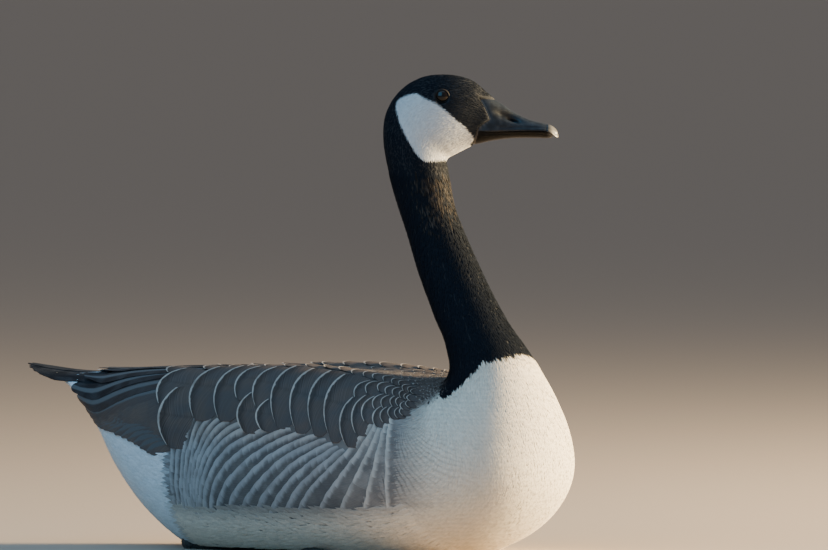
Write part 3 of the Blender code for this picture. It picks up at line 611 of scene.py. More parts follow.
def vane_shape(root, full_at, lost, tip_from, tip_to):
    """How wide a feather is from root to tip: full at full_at, with a share lost towards the tip."""
    def shape(part):
        widening = root + (1 - root) * smoothstep(0, full_at, part)
        return np.where(part < full_at, widening, 1 - lost * smoothstep(tip_from, tip_to, part))
    return shape


ROUND_VANE = vane_shape(0.5, 0.5, 0.62, 0.5, 1.08)
SQUARE_VANE = vane_shape(0.6, 0.5, 0.10, 0.8, 1.0)
LONG_VANE = vane_shape(0.55, 0.4, 0.75, 0.76, 1.04)


def plume_shape(part):
    return 0.75 + 0.25 * np.sin(math.pi * part)


class Socket:
    """A shader socket that can be used in sums and products."""

    def __init__(self, shader, socket):
        self.shader = shader
        self.socket = socket

    def math(self, operation, *others):
        return self.shader.node("ShaderNodeMath", {"operation": operation}, (self, *others))

    def __add__(self, other):
        return self.math("ADD", other)

    def __sub__(self, other):
        return self.math("SUBTRACT", other)

    def __rsub__(self, other):
        return self.shader.node("ShaderNodeMath", {"operation": "SUBTRACT"}, (other, self))

    def __mul__(self, other):
        return self.math("MULTIPLY", other)

    __radd__ = __add__
    __rmul__ = __mul__

    def step(self, low, high):
        """From 0 at low to 1 at high, smoothly."""
        return self.shader.node(
            "ShaderNodeMapRange", {"interpolation_type": "SMOOTHSTEP"}, {0: self, 1: low, 2: high})

    def outputs(self):
        """All the outputs of the node that this is the first of."""
        return [Socket(self.shader, output) for output in self.socket.node.outputs]


class Shader:
    """A material with a Principled BSDF and the nodes that feed it."""

    def __init__(self, name, roughness, specular=0.5):
        self.material = bpy.data.materials.new(name)
        self.material.use_nodes = True
        self.tree = self.material.node_tree
        self.principled = self.tree.nodes["Principled BSDF"]
        self.set("Roughness", roughness)
        self.set("Specular IOR Level", specular)

    def node(self, kind, settings=None, values=(), output=0):
        """One output of a new node, with its settings made and its inputs set or linked."""
        made = self.tree.nodes.new(kind)
        for word, value in (settings or {}).items():
            setattr(made, word, value)
        for place, value in values.items() if isinstance(values, dict) else enumerate(values):
            self.put(made.inputs[place], value)
        return Socket(self, made.outputs[output])

    def put(self, target, value):
        if isinstance(value, Socket):
            self.tree.links.new(value.socket, target)
        elif isinstance(value, tuple):
            target.default_value = (*value, 1.0)
        else:
            target.default_value = value

    def set(self, word, value):
        self.put(self.principled.inputs[word], value)

    def attribute(self, name, output=0):
        return self.node("ShaderNodeAttribute", {"attribute_name": name}, output=output)

    def place(self):
        """Where a point is in the object."""
        return self.node("ShaderNodeTexCoord", output=3)

    def noise(self, scale, detail):
        values = {"Vector": self.place(), "Scale": scale, "Detail": detail}
        return self.node("ShaderNodeTexNoise", {}, values)

    def mix(self, factor, first, second):
        settings = {"data_type": "RGBA", "clamp_factor": True}
        return self.node("ShaderNodeMix", settings, {0: factor, 6: first, 7: second}, output=2)

    def bump(self, height, strength, distance):
        values = {"Strength": strength, "Distance": distance, "Height": height}
        self.set("Normal", self.node("ShaderNodeBump", {}, values))


# Cool patches on the feathers: a random mottle of their tone, partly a painted bluish sheen
COOL_MOTTLE_AND_SHEEN = (0.075, 0.078, 0.086)
SHAFT_COLOR = (0.01, 0.01, 0.01)
STREAK_COLOR = (0.006, 0.007, 0.010)


def feather_material(name, roughness, rim, striped=False, shaft=0.15, dusk=0.35, barbs=0.4, wear=0.06,
                     specular=0.25):
    """Feathers: a ground colour streaked along the barbs, a pale frayed rim or stripe, and a dark shaft."""
    shader = Shader(name, roughness, specular)
    own = shader.node("ShaderNodeSeparateXYZ", {}, [shader.node("ShaderNodeUVMap", {"uv_map": "Vane"})])
    across, along, _ = own.outputs()
    side = across * 2 - 1
    across = side.math("ABSOLUTE")
    fray = shader.noise(180.0, 4.0)
    patchy = shader.noise(60.0, 2.0)
    lines = shader.node("ShaderNodeTexNoise", {"noise_dimensions": "1D"},
                        {"W": along * 30 - across * 9, "Scale": 1.5, "Detail": 3.0})
    frayed = along + (fray - 0.5) * wear
    pale = frayed.step(*rim) * (patchy.step(0.2, 0.5) * 0.5 + 0.5)
    if striped:
        pale = pale.math("MAXIMUM", side.step(-0.35, -0.15) * side.step(0.35, 0.15))
    ground = shader.attribute("ground")
    # Cool patches: random mottle of the tone, partly painted bluish sheen
    color = shader.mix(patchy.step(0.35, 0.65), ground, shader.mix(0.5, ground, COOL_MOTTLE_AND_SHEEN))
    darker = lines.step(0.3, 0.7) * barbs + along.step(0.74, 0.92) * dusk
    color = shader.mix(darker, color, (0.0, 0.0, 0.0))
    color = shader.mix(pale, color, shader.attribute("edge"))
    color = shader.mix(across.step(0.07, 0.015) * shaft * (1 - pale), color, SHAFT_COLOR)
    shader.set("Base Color", color)
    shader.bump(lines * 0.7 + fray * 0.3, 0.3, 0.0004)
    return shader.material


def plume_material(name, specular, streaked=0.0):
    """Plumes: their ground colour, finely varied. Faint streaks can fan out from the bend of the wing."""
    shader = Shader(name, 0.65, specular)
    fine = shader.noise(700.0, 3.0)
    dark = fine.step(0.3, 0.7) * 0.12
    if streaked:
        coarse = shader.noise(45.0, 2.0)
        x, _, z = shader.node("ShaderNodeSeparateXYZ", {}, [shader.place()]).outputs()
        ahead = x - WING_BEND[0]
        below = WING_BEND[1] - z
        reach = (ahead * ahead + below * below).math("SQRT")
        angle = below.math("ARCTAN2", ahead)
        near = reach.step(0.006, 0.020) * reach.step(0.105, 0.035)
        fan = angle.step(0.25, 0.85) * angle.step(2.5, 2.1)
        wave = (angle * 84 + reach * 520 + coarse * 16).math("SINE")
        bars = (below * 1900 + coarse * 9).math("SINE")
        broken = coarse.step(0.25, 0.6) * (angle.step(1.0, 1.7) * 0.7 + 0.5)
        dark = dark + near * fan * wave.step(-0.2, 1.0) * broken * streaked + (bars * 0.5 + 0.5) * 0.06
    shader.set("Base Color", shader.mix(dark, shader.attribute("ground"), STREAK_COLOR))
    shader.bump(fine, 0.15, 0.0002)
    return shader.material


def colored(u, v, rng, spread=0.12):
    """The markings at each root, varied a little from feather to feather."""
    ground, edge = markings(u, v, CHART.at(u, v)[4])
    vary = 1 + spread * rng.uniform(-1, 1, (len(u), 1))
    return {"ground": np.clip(ground * vary, 0, 1), "edge": np.clip(edge * vary, 0, 1)}


def assign(obj, material):
    obj.data.materials.clear()
    obj.data.materials.append(material)
    return obj


# How far the feathers turn up over the flank and down over the breast: (degrees down, degrees of turn)
FLANK_LIFT = ((56, 0), (64, 74), (72, 68), (84, 57), (100, 43), (118, 26), (135, 0))
BREAST_FALL = ((30, 0), (55, 52), (110, 46), (160, 0))


def flow(u, v):
    """The lie of the feathers: radians that they turn up from the line to the tail."""
    degrees = degrees_down(v)
    flank = smoothstep(6.1, 7.6, u) * smoothstep(10.9, 8.7, u)
    breast = smoothstep(10.9, 12.6, u) * smoothstep(15.4, 13.8, u)
    return np.radians(read(FLANK_LIFT, degrees) * flank - read(BREAST_FALL, degrees) * breast)


class GOOSE_OT_skin(bpy.types.Operator):
    """Make the skin, which stands for all the nodes of flesh"""

    bl_idname = "goose.skin"
    bl_label = "Skin"

    def execute(self, context):
        skin = loft_grid(CHART.points, "skin")
        index = grid_places(skin.data, CHART.points)
        u = index // POINTS_ROUND / STEPS_PER_ROW
        v = index % POINTS_ROUND / POINTS_ROUND
        ground, _ = markings(u, v, CHART.straight.reshape(-1, 3)[index])
        set_color(skin.data, "ground", ground * 0.95)
        shader = Shader("skin_down", 0.9)
        shader.set("Base Color", shader.attribute("ground"))
        assign(skin, shader.material)
        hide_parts("head", "neck_upper", "neck_lower", "torso", "tail")
        return {"FINISHED"}


FLOOR_GAP = 0.004


def on_head(u, degrees, straight):
    ahead = straight[..., 0] - EYE_CENTRE[0]
    off_eye = np.hypot(ahead - np.maximum(ahead, 0) * 0.25, straight[..., 2] - EYE_CENTRE[2]) > 0.0057
    return off_eye & (outline_distance(straight, BILL_REGION) > 0.0002)


def on_neck(u, degrees, straight):
    return u > read(NECK_BORDER, degrees) - 0.1


def on_breast(u, degrees, straight):
    side = (u > 11.4) | (degrees > 50)
    return side & (u < read(NECK_BORDER, degrees) + 0.1) & (straight[..., 2] > FLOOR_GAP)


def on_belly(u, degrees, straight):
    vent = ((degrees < 14) | (degrees > read(QUILL_BORDER, u) + 1.5)) & ((degrees > 74) | (u > 2.4))
    return ((degrees > 113) | ((u < 6.3) & vent)) & (straight[..., 2] > FLOOR_GAP) & (u > 0.5)


# Each coat of plumes: name, rows, spacing, where it grows, length, half width, rise at the tip, slot
PLUME_COATS = (
    ("coat_head", (22.8, 33), 0.0013, on_head, 0.0042, 0.0006, 0.0009, "head_feathers"),
    ("coat_neck", (13, 22.8), 0.0016, on_neck, 0.0075, 0.0008, 0.0014, "neck_feathers"),
    ("coat_breast", (10.2, 17), 0.0015, on_breast, 0.0110, 0.0011, 0.0010, "body_feathers"),
    ("coat_belly", (0.0, 10.6), 0.0030, on_belly, 0.0130, 0.0024, 0.0020, "body_feathers"),
)
PLUME_LOOK = {"shape": plume_shape, "base": -0.0004, "camber": 0.28}
# Painted sheen on the upper neck: the colour of the pale brown plumes that stand for light catching the
# black, and their share
NECK_SHEEN_COLOR, NECK_SHEEN_SHARE = (0.038, 0.033, 0.030), 0.6


def painted_neck_sheen(ground, u, v, rng):
    """Painted sheen: pale brown plumes strewn over the front of the upper neck, where light catches the
    black.
    """
    zone = smoothstep(20.6, 21.6, u) * smoothstep(22.9, 22.4, u) * smoothstep(60, 100, degrees_down(v))
    pale = rng.random(len(u)) < NECK_SHEEN_SHARE * zone
    ground[pale] = np.array(NECK_SHEEN_COLOR) * rng.uniform(0.3, 1.3, (pale.sum(), 1))


class GOOSE_OT_plumes(bpy.types.Operator):
    """Lay the plumes of the head, neck, breast, belly and vent"""

    bl_idname = "goose.plumes"
    bl_label = "Plumes"

    def execute(self, context):
        rng = np.random.default_rng(11)
        plume = Plume()
        soft = plume_material("plumes", 0.2)
        dull = plume_material("dark_plumes", 0.05)
        silky = plume_material("breast_plumes", 0.2, 0.40)
        materials = {"coat_breast": silky, "coat_belly": soft}
        for name, rows, spacing, keep, length, width, rise, slot in PLUME_COATS:
            u, v = scatter(rng, spacing, keep, rows)
            size = rng.uniform(0.8, 1.2, len(u))
            us, vs = walk(u, v, flow, length * size)
            colors = colored(us[:, 5], vs[:, 5], rng, 0.08)
            # Painted sheen: pale brown plumes on the front of the upper neck
            painted_neck_sheen(colors["ground"], u, v, rng)
            made = lay(name, plume, (us, vs), width * size, {**PLUME_LOOK, "rise": rise}, colors)
            assign(made, materials.get(name, dull))
        return {"FINISHED"}


# The wing's lower border as (row, degrees), and by row the bands' spacing and the feathers' length
FLANK_STARTS = ((6.05, 80), (6.54, 68), (7.21, 67), (7.75, 68), (8.29, 69), (8.75, 72), (9.12, 79),
                (9.21, 80), (9.54, 71), (9.83, 64), (10.62, 57))
FLANK_SPACING = ((6.0, 0.0082), (7.5, 0.0068), (9.3, 0.0056), (9.8, 0.0040), (10.7, 0.0029))
FLANK_LENGTH = ((9.4, 0.0285), (10.4, 0.022), (11.2, 0.014))
FLANK_STEPS = 18
FLANK_LOOK = {"shape": SQUARE_VANE, "bow": 0.05, "base": -0.0006, "rise": 0.0015, "tilt": 0.0002,
              "thickness": 0.00015}


def flank_starts():
    """The rows on the wing's lower border where the flank's bands begin, evenly apart across the bands."""
    row = np.linspace(FLANK_STARTS[0][0] + 0.17, FLANK_STARTS[-1][0], 400)
    v = read(FLANK_STARTS, row) / 360
    point = CHART.at(row, v)[0]
    us, vs = walk(row, v, flow, 0.001, 1)
    lie = unit(CHART.at(us[:, 1], vs[:, 1])[0] - point)
    crossed = (np.abs((np.gradient(point, axis=0) * lie).sum(axis=1)) / read(FLANK_SPACING, row)).cumsum()
    return np.interp(np.arange(0, crossed[-1]), crossed, row)


class GOOSE_OT_flanks(bpy.types.Operator):
    """Lay the feathers of the flanks, whose ends line up in bands"""

    bl_idname = "goose.flanks"
    bl_label = "Flanks"

    def execute(self, context):
        rng = np.random.default_rng(3)
        material = feather_material("flank_feathers", 0.8, (0.79, 0.97), shaft=0.0, dusk=0.08, barbs=0.3,
                                    wear=0.14)
        row = flank_starts()
        start = read(FLANK_STARTS, row) / 360
        reach = context.scene.goose_sizes.flank_reach
        for side, word in ((1, "left"), (-1, "right")):
            us, vs = walk(row, start * side % 1, lambda u, v: flow(u, v) - math.pi / 2, reach, FLANK_STEPS)
            count = us.size
            tip_u = us.ravel() + rng.uniform(-0.012, 0.012, count)
            tip_v = vs.ravel() % 1
            length = np.repeat(read(FLANK_LENGTH, row), FLANK_STEPS + 1)
            lines = walk_to(tip_u, tip_v, flow, length * rng.uniform(0.97, 1.03, count))
            colors = colored(np.maximum(tip_u, 6.4), tip_v, rng)
            made = lay("coat_flank_" + word, Vane(5, 6), lines, length * 0.31, FLANK_LOOK, colors)
            assign(made, material)
        return {"FINISHED"}


# Tiers of scapulars and coverts: row of the tips at 49 degrees, (degrees, half width) of each, length
COVERT_TIERS = (
    (5.74, ((20, 0.014), (40, 0.024), (62, 0.026)), 0.058),
    (6.45, ((18, 0.012), (44, 0.032)), 0.054),
    (6.92, ((18, 0.012), (44, 0.033)), 0.048),
    (7.26, ((20, 0.013), (38, 0.024), (60, 0.018)), 0.044),
    (7.55, ((18, 0.012), (43, 0.026), (62, 0.014)), 0.042),
    (7.88, ((18, 0.012), (48, 0.034)), 0.040),
    (8.22, ((18, 0.011), (49, 0.034)), 0.038),
    (8.52, ((18, 0.010), (50, 0.034)), 0.036),
    (8.84, ((20, 0.010), (52, 0.034)), 0.034),
    (9.12, ((22, 0.010), (40, 0.017), (62, 0.022)), 0.032),
    (9.38, ((24, 0.010), (39, 0.014), (57, 0.019)), 0.030),
    (9.62, ((24, 0.009), (36, 0.011), (52, 0.014)), 0.028),
    (9.86, ((25, 0.008), (35, 0.009), (46, 0.010), (57, 0.011)), 0.025),
    (10.10, ((26, 0.008), (36, 0.008), (46, 0.009), (56, 0.009)), 0.022),
    (10.34, ((27, 0.007), (36, 0.008), (45, 0.008), (54, 0.008)), 0.020),
    (10.58, ((29, 0.007), (37, 0.007), (45, 0.007), (53, 0.007)), 0.018),
    (10.82, ((31, 0.006), (39, 0.006), (47, 0.006), (53, 0.006)), 0.017),
    (11.06, ((33, 0.006), (40, 0.006), (47, 0.006)), 0.016),
)
COVERT_SLANT, COVERT_HEADING = 0.0125, 0.05
COVERT_LOOK = {"shape": SQUARE_VANE, "base": -0.0014, "camber": 0.02, "tilt": 0.0003, "thickness": 0.0004}

# How the form of a covert changes with its half width
COVERT_BOW = ((0.008, 0.18), (0.028, 0.17))
COVERT_SKEW = ((0.010, 0.0), (0.028, -0.26))
COVERT_RISE = ((0.008, 0.0032), (0.028, 0.0050))

# How far the mantle reaches to each side: (row, degrees)
MANTLE_REACH = ((6.4, 14), (9.0, 20), (10.6, 30), (11.4, 44), (12.2, 50), (13.0, 52))
MANTLE_LENGTH, MANTLE_HALF_WIDTH = 0.026, 0.0080
MANTLE_LOOK = {"shape": ROUND_VANE, "bow": 0.16, "base": -0.0008, "rise": 0.0012, "thickness": 0.0002}

# Lines of the flight feathers: row and degrees at the root, half way and at the tip, and the half width
FLIGHT_LINES = (
    (6.9, 5.0, 5.00, 6.5, 1.90, 9.5, 0.0100),
    (6.9, 12.0, 5.40, 15.0, 2.60, 20.0, 0.0090),
    (6.9, 20.0, 5.20, 25.0, 1.90, 45.0, 0.0095),
    (6.9, 28.0, 5.00, 34.0, 1.45, 84.0, 0.0095),
    (6.9, 36.0, 5.10, 44.0, 1.75, 98.0, 0.0095),
    (6.9, 44.0, 5.20, 51.0, 2.30, 101.0, 0.0095),
    (6.9, 50.0, 5.30, 56.5, 2.90, 101.0, 0.0090),
    (6.9, 55.0, 5.40, 61.0, 3.60, 92.0, 0.0090),
    (6.9, 60.0, 5.50, 65.5, 4.20, 86.0, 0.0088),
    (6.9, 65.0, 5.70, 69.5, 4.80, 84.0, 0.0086),
    (6.9, 70.0, 5.90, 74.0, 5.25, 84.0, 0.0084),
    (6.9, 74.0, 6.10, 78.0, 5.65, 86.0, 0.0080),
)
FLIGHT_LOOK = {"shape": LONG_VANE, "bow": 0.03, "rise": 0.0040, "camber": 0.03, "tilt": 0.0005,
               "thickness": 0.0005}

# By place in that table: how brown a flight feather is, how pale its stripe is, and how deep it lies
FLIGHT_BROWN = ((0, 0), (3.5, 0.1), (5.5, 1))
FLIGHT_PALE = ((0, 0.13), (4, 0.12), (6, 0.11), (11, 0.10))
FLIGHT_PALE_TINT = (0.95, 1.0, 1.06)
FLIGHT_BASE, FLIGHT_STACKING = -0.0006, 0.00012


def back_colors(count, rng, edge=1.0):
    """The colours of the back, varied a little from feather to feather."""
    vary = rng.uniform(0.85, 1.15, (count, 1))
    return {"ground": paint("back") * vary, "edge": paint("back_edge") * vary * edge}


def coverts(side, word, rng):
    """The scapulars and coverts of one wing."""
    rows = []
    for tip, places, length in COVERT_TIERS:
        for middle, width in places:
            at = middle + rng.uniform(-1, 1)
            rows.append((tip + COVERT_SLANT * (at - 49) + rng.uniform(-0.02, 0.02), at, length, width))
    u, degrees, length, width = np.array(rows).T
    bow, skew, rise = (read(table, width)[:, None] for table in (COVERT_BOW, COVERT_SKEW, COVERT_RISE))
    look = {**COVERT_LOOK, "bow": bow, "skew": skew * (width / length)[:, None], "rise": rise}
    lines = walk_to(u, degrees / 360 * side % 1, COVERT_HEADING, length)
    return lay("coat_wing_" + word, Vane(14, 12), lines, width, look, back_colors(len(u), rng))


def quills(side, word):
    """The flight feathers of one wing: those of the table, and one between each two of the outer ones."""
    table = np.array(FLIGHT_LINES)
    order = np.concatenate([np.arange(5), np.arange(5, len(table) - 0.9, 0.5)])
    table = np.stack([np.interp(order, np.arange(len(table)), column) for column in table.T], axis=1)
    part = np.linspace(0, 1, LINE_STEPS + 1)
    weights = ((1 - part) * (1 - 2 * part), 4 * part * (1 - part), part * (2 * part - 1))
    us = sum(table[:, 2 * k, None] * weights[k] for k in range(3))
    degrees = sum(table[:, 2 * k + 1, None] * weights[k] for k in range(3))
    brown = read(FLIGHT_BROWN, order)[:, None]
    pale = read(FLIGHT_PALE, order)[:, None] * np.array(FLIGHT_PALE_TINT)
    colors = {"ground": paint("black") * (1 - brown) + paint("back") * 1.25 * brown, "edge": pale}
    look = {**FLIGHT_LOOK, "base": FLIGHT_BASE - FLIGHT_STACKING * order[:, None]}
    return lay("quills_" + word, Vane(8, 14), (us, degrees / 360 * side), table[:, 6], look, colors)


def mantle(rng):
    """Small scalloped feathers down the middle of the back, between the wings."""
    rows = []
    for k, tip in enumerate(np.arange(6.4, 13.1, 0.17)):
        reach = read(MANTLE_REACH, tip)
        for degrees in np.arange(-reach + 3.5 * (k % 2), reach, 7.0):
            rows.append((tip + rng.uniform(-0.03, 0.03), degrees + rng.uniform(-0.8, 0.8)))
    u, degrees = np.array(rows).T
    count = len(u)
    lines = walk_to(u, degrees / 360 % 1, 0.0, np.full(count, MANTLE_LENGTH))
    colors = back_colors(count, rng, 0.8)
    return lay("coat_mantle", Vane(6, 7), lines, np.full(count, MANTLE_HALF_WIDTH), MANTLE_LOOK, colors)


class GOOSE_OT_wings(bpy.types.Operator):
    """Lay the mantle and the scapulars, coverts and flight feathers of the folded wings"""

    bl_idname = "goose.wings"
    bl_label = "Wings"

    def execute(self, context):
        rng = np.random.default_rng(5)
        material = feather_material("wing_feathers", 0.6, (0.948, 0.972))
        flight = feather_material("flight_feathers", 0.5, (1.5, 2.0), striped=True, dusk=0.0, specular=0.14)
        for side, word in ((1, "left"), (-1, "right")):
            tiers = assign(coverts(side, word, rng), material)
            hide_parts("wing_" + word)
            for piece in (tiers, assign(quills(side, word), flight)):
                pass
        assign(mantle(rng), material)
        return {"FINISHED"}


TAIL_PAIRS = 8
TAIL_ROOT = (-0.225, 0.1385)
TAIL_TIP = (-0.3195, 0.1440)
TAIL_YAW = math.radians(2.3)
TAIL_ROLL = math.radians(2.8)
TAIL_SHORTENING = 0.055


def tail_feather(vane, k, side, rng):
    """One tail feather: the further out, the more it is turned out, rolled and shortened."""
    roll = TAIL_ROLL * (k + 0.5) * side
    turn = np.array(Matrix.Rotation(-TAIL_YAW * (k + 0.5) * side, 3, "Z"))
    root = np.array((TAIL_ROOT[0], side * 0.0022 * (k + 0.5), TAIL_ROOT[1] - 0.0004 * k))
    along = turn @ np.array((TAIL_TIP[0] - TAIL_ROOT[0], 0, TAIL_TIP[1] - TAIL_ROOT[1] - 0.0006 * k))
    along = along * (1 - TAIL_SHORTENING * k + rng.uniform(-0.01, 0.01))
    up = unit(np.cross(turn @ np.array((0, math.cos(roll), -math.sin(roll))), along))
    across = np.cross(unit(along), up)
    width = LONG_VANE(vane.part) * bpy.context.scene.goose_sizes.tail_half_width
    height = 0.06 * width * vane.hump - 0.0006 * vane.under - 0.002 * np.sin(math.pi * vane.part)
    part = vane.part - 0.03 * vane.across ** 2 * vane.part ** 2
    return root + along * part[:, None] + across * (vane.across * width)[:, None] + up * height[:, None]


class GOOSE_OT_tail(bpy.types.Operator):
    """Fan the tail feathers"""

    bl_idname = "goose.tail"
    bl_label = "Tail"

    def execute(self, context):
        vane = Vane(6, 12)
        rng = np.random.default_rng(2)
        points = [tail_feather(vane, k, side, rng) for k in range(TAIL_PAIRS) for side in (1, -1)]
        u = np.repeat(np.linspace(0, 1, TAIL_PAIRS), 2)
        v = np.tile((0.25, 0.75), TAIL_PAIRS)
        black = np.tile(paint("black"), (len(points), 1))
        made = joined("tail_fan", vane, np.concatenate(points), u, v, {"ground": black, "edge": black})
        assign(made, bpy.data.materials["flight_feathers"])
        return {"FINISHED"}


class GOOSE_OT_feet(bpy.types.Operator):
    """Give the feet their scaled skin"""

    bl_idname = "goose.feet"
    bl_label = "Feet"

    def execute(self, context):
        scaled = Shader("scaled_skin", 0.5)
        cells = scaled.node("ShaderNodeTexVoronoi", {"feature": "DISTANCE_TO_EDGE"},
                            {"Vector": scaled.place(), "Scale": 420.0})
        seam = cells.step(0.0, 0.12)
        scaled.set("Base Color", scaled.mix(seam, (0.012, 0.011, 0.010), (0.045, 0.043, 0.041)))
        scaled.bump(seam, 0.4, 0.0004)
        for side in ("left", "right"):
            for material_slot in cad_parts["leg_" + side].material_slots:
                material_slot.material = scaled.material
        return {"FINISHED"}


# Hollows of the nostril: centre (x, z), half length, half height, depth
NOSTRIL_HOLLOW = (0.1430, 0.3478, 0.0105, 0.0028, 0.0024)
NOSTRIL_SLOT = (0.1476, 0.3454, 0.0046, 0.0013, 0.0028)
NOSTRIL_SLOPE = math.radians(22)
NAIL_X = 0.1735

# Grooves along the gape: depth, distance from the flat side, half width, and the x where each comes in
UPPER_GROOVE = (0.00035, 0.0024, 0.0007, (0.122, 0.130))
LOWER_GROOVE = (0.00030, 0.0022, 0.0006, (0.118, 0.125))

# Horn of each half: specular level, dark and light colour. The lower half's darker horn is painted shade
# under the upper half.
HORN_AND_LOWER_SHADE = {
    "bill_upper": (0.38, (0.008, 0.011, 0.016), (0.019, 0.025, 0.034)),
    "bill_lower": (0.1, (0.003, 0.003, 0.003), (0.006, 0.006, 0.006)),
}


def hollow(points, shape):
    """How deep a smooth oval hollow is at each point, seen from the side."""
    centre_x, centre_z, half_length, half_height, depth = shape
    x, z = points[..., 0] - centre_x, points[..., 2] - centre_z
    along = x * math.cos(NOSTRIL_SLOPE) - z * math.sin(NOSTRIL_SLOPE)
    across = x * math.sin(NOSTRIL_SLOPE) + z * math.cos(NOSTRIL_SLOPE)
    return depth * np.exp(-((along / half_length) ** 2 + (across / half_height) ** 2) ** 1.5)


def bill_rings(rows, upper):
    """Rings of one half of the bill, with the head straight ahead."""
    x, top, bottom, half = smooth_rows(rows, BILL_STEPS).T[..., None]
    angle = 2 * math.pi * np.arange(BILL_POINTS_ROUND) / BILL_POINTS_ROUND
    flat, full = (bottom, top) if upper else (top, bottom)
    base = smoothstep(0.140, 0.122, x) if upper else 0.0
    rise = rounded(np.sin(angle), 1.8 + 0.6 * base)
    rise = np.where(rise > 0, rise, rise * 0.05)
    y = half * rounded(np.cos(angle), 2.3 + 1.2 * base if upper else 2.0)
    points = np.stack([np.broadcast_to(x, y.shape), y, flat + (full - flat) * rise], axis=2)
    around = np.roll(points, -1, axis=1) - np.roll(points, 1, axis=1)
    normal = unit(np.cross(around, np.gradient(points, axis=0)))
    normal = normal * np.sign((normal[..., 1] * points[..., 1]).sum())
    depth, middle, half_width, begins = UPPER_GROOVE if upper else LOWER_GROOVE
    off = np.abs(points[..., 2] - flat) - middle
    push = -depth * np.exp(-(off / half_width) ** 2) * smoothstep(*begins, x)
    side = smoothstep(0.0, 0.3, np.abs(normal[..., 1])) * (rise > 0)
    if upper:
        push = push - hollow(points, NOSTRIL_HOLLOW) - hollow(points, NOSTRIL_SLOT)
        nail = smoothstep(NAIL_X - 0.0006, NAIL_X + 0.0008, x)
        push = push + 0.00030 * nail - 0.00022 * np.exp(-((x - NAIL_X) / 0.0005) ** 2)
        push = push * side
    return points + normal * push[..., None]


def horn(name):
    """Blue-black horn with a pale nail that is a painted highlight, painted shade in the nostril's hollow,
    and a thin pale line where the feathers begin.
    """
    specular, dark, light = HORN_AND_LOWER_SHADE[name]
    shader = Shader(name + "_horn", 0.38, specular)
    rim, nail, nostril_shade = shader.node("ShaderNodeSeparateColor", {}, [shader.attribute("zones_and_painted_light")]).outputs()
    mottle = shader.noise(260.0, 4.0)
    streaks = shader.noise(900.0, 3.0)
    color = shader.mix(mottle.step(0.35, 0.7), dark, light)
    # Painted shade: the nostril's hollow is darkened where shade falls in it
    color = shader.mix(nostril_shade * 0.8, color, (0.003, 0.003, 0.004))
    # The pale nail is a painted highlight, where light catches the tip of the bill
    color = shader.mix(nail * 0.75, color, (0.15, 0.145, 0.135))
    color = shader.mix(rim * 0.6, color, (0.17, 0.15, 0.13))
    shader.set("Base Color", color)
    shader.set("Roughness", mottle * 0.18 + 0.30)
    shader.bump(mottle * 0.6 + streaks * 0.4, 0.22, 0.0003)
    return shader.material


class GOOSE_OT_bill(bpy.types.Operator):
    """Shape both halves of the bill"""

    bl_idname = "goose.bill"
    bl_label = "Bill"

    def execute(self, context):
        for rows, name, node in ((UPPER_BILL_ROWS, "bill_top", "bill_upper"),
                                 (LOWER_BILL_ROWS, "bill_bottom", "bill_lower")):
            rings = bill_rings(rows, node == "bill_upper")
            made = loft_grid(turned(rings), name)
            straight = rings.reshape(-1, 3)[grid_places(made.data, turned(rings))]
            rim = smoothstep(0.0011, 0.0004, np.abs(outline_distance(straight, BILL_REGION)))
            # Mask of the painted highlight on the nail
            nail = smoothstep(NAIL_X - 0.0010, NAIL_X + 0.0050, straight[:, 0])
            # Mask of the painted shade in the nostril's hollow
            nostril_shade = hollow(straight, NOSTRIL_HOLLOW) / NOSTRIL_HOLLOW[4]
            set_color(made.data, "zones_and_painted_light", np.stack([rim, nail, nostril_shade], axis=1))
            assign(made, horn(node))
            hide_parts(node)
        return {"FINISHED"}


IRIS_INSIDE, IRIS_OUTSIDE = (0.0019, 0.0023), (0.0046, 0.0040)

# The lid: its section as (outward, proud), its distance from the eye's centre, its slant, length and height
LID_PROFILE = ((-0.0006, -0.0009), (-0.0003, 0.0001), (0.0000, 0.0004), (0.0004, 0.0003),
               (0.0008, -0.0002), (0.0010, -0.0012), (0.0004, -0.0022), (-0.0005, -0.0018))
LID_REACH = 0.0049
LID_SLANT = 0.2
LID_LONG, LID_HIGH = 1.04, 0.96
LID_STEPS = 72


def eyeball(side, word):
    bm = bmesh.new()
    radius = bpy.context.scene.goose_sizes.eye_radius
    bmesh.ops.create_uvsphere(bm, u_segments=48, v_segments=32, radius=radius)
    bmesh.ops.rotate(bm, verts=bm.verts, matrix=Matrix.Rotation(math.radians(-90 * side), 3, "X"))
    place = np.array([vert.co for vert in bm.verts])
    away = np.hypot(place[:, 0], place[:, 2])
    for vert, point in zip(bm.verts, turned(place + np.array(EYE_CENTRE) * (1, side, 1))):
        vert.co = point
    made = object_from(bm, "eyeball_" + word)
    iris = smoothstep(*IRIS_INSIDE, away) * smoothstep(*IRIS_OUTSIDE, away)
    set_color(made.data, "iris", iris[:, None])
    return made


def lid(side, word):
    """A ring of bare skin round the eye, thicker above."""
    angle = 2 * math.pi * np.arange(LID_STEPS + 1)[:, None] / LID_STEPS
    outward, proud = np.array(LID_PROFILE).T
    swell = 1 + 0.25 * np.maximum(np.sin(angle), 0)
    reach = LID_REACH + outward * swell
    along = reach * LID_LONG * np.cos(angle)
    up = reach * LID_HIGH * np.sin(angle)
    x = EYE_CENTRE[0] + along * math.cos(LID_SLANT) + up * math.sin(LID_SLANT)
    z = EYE_CENTRE[2] - along * math.sin(LID_SLANT) + up * math.cos(LID_SLANT)
    ball = math.sqrt(max(bpy.context.scene.goose_sizes.eye_radius ** 2 - LID_REACH ** 2, 0))
    y = EYE_CENTRE[1] + ball + proud * swell + 0.0002
    return loft_grid(turned(np.stack([x, side * y, z], axis=2)), "lid_" + word)


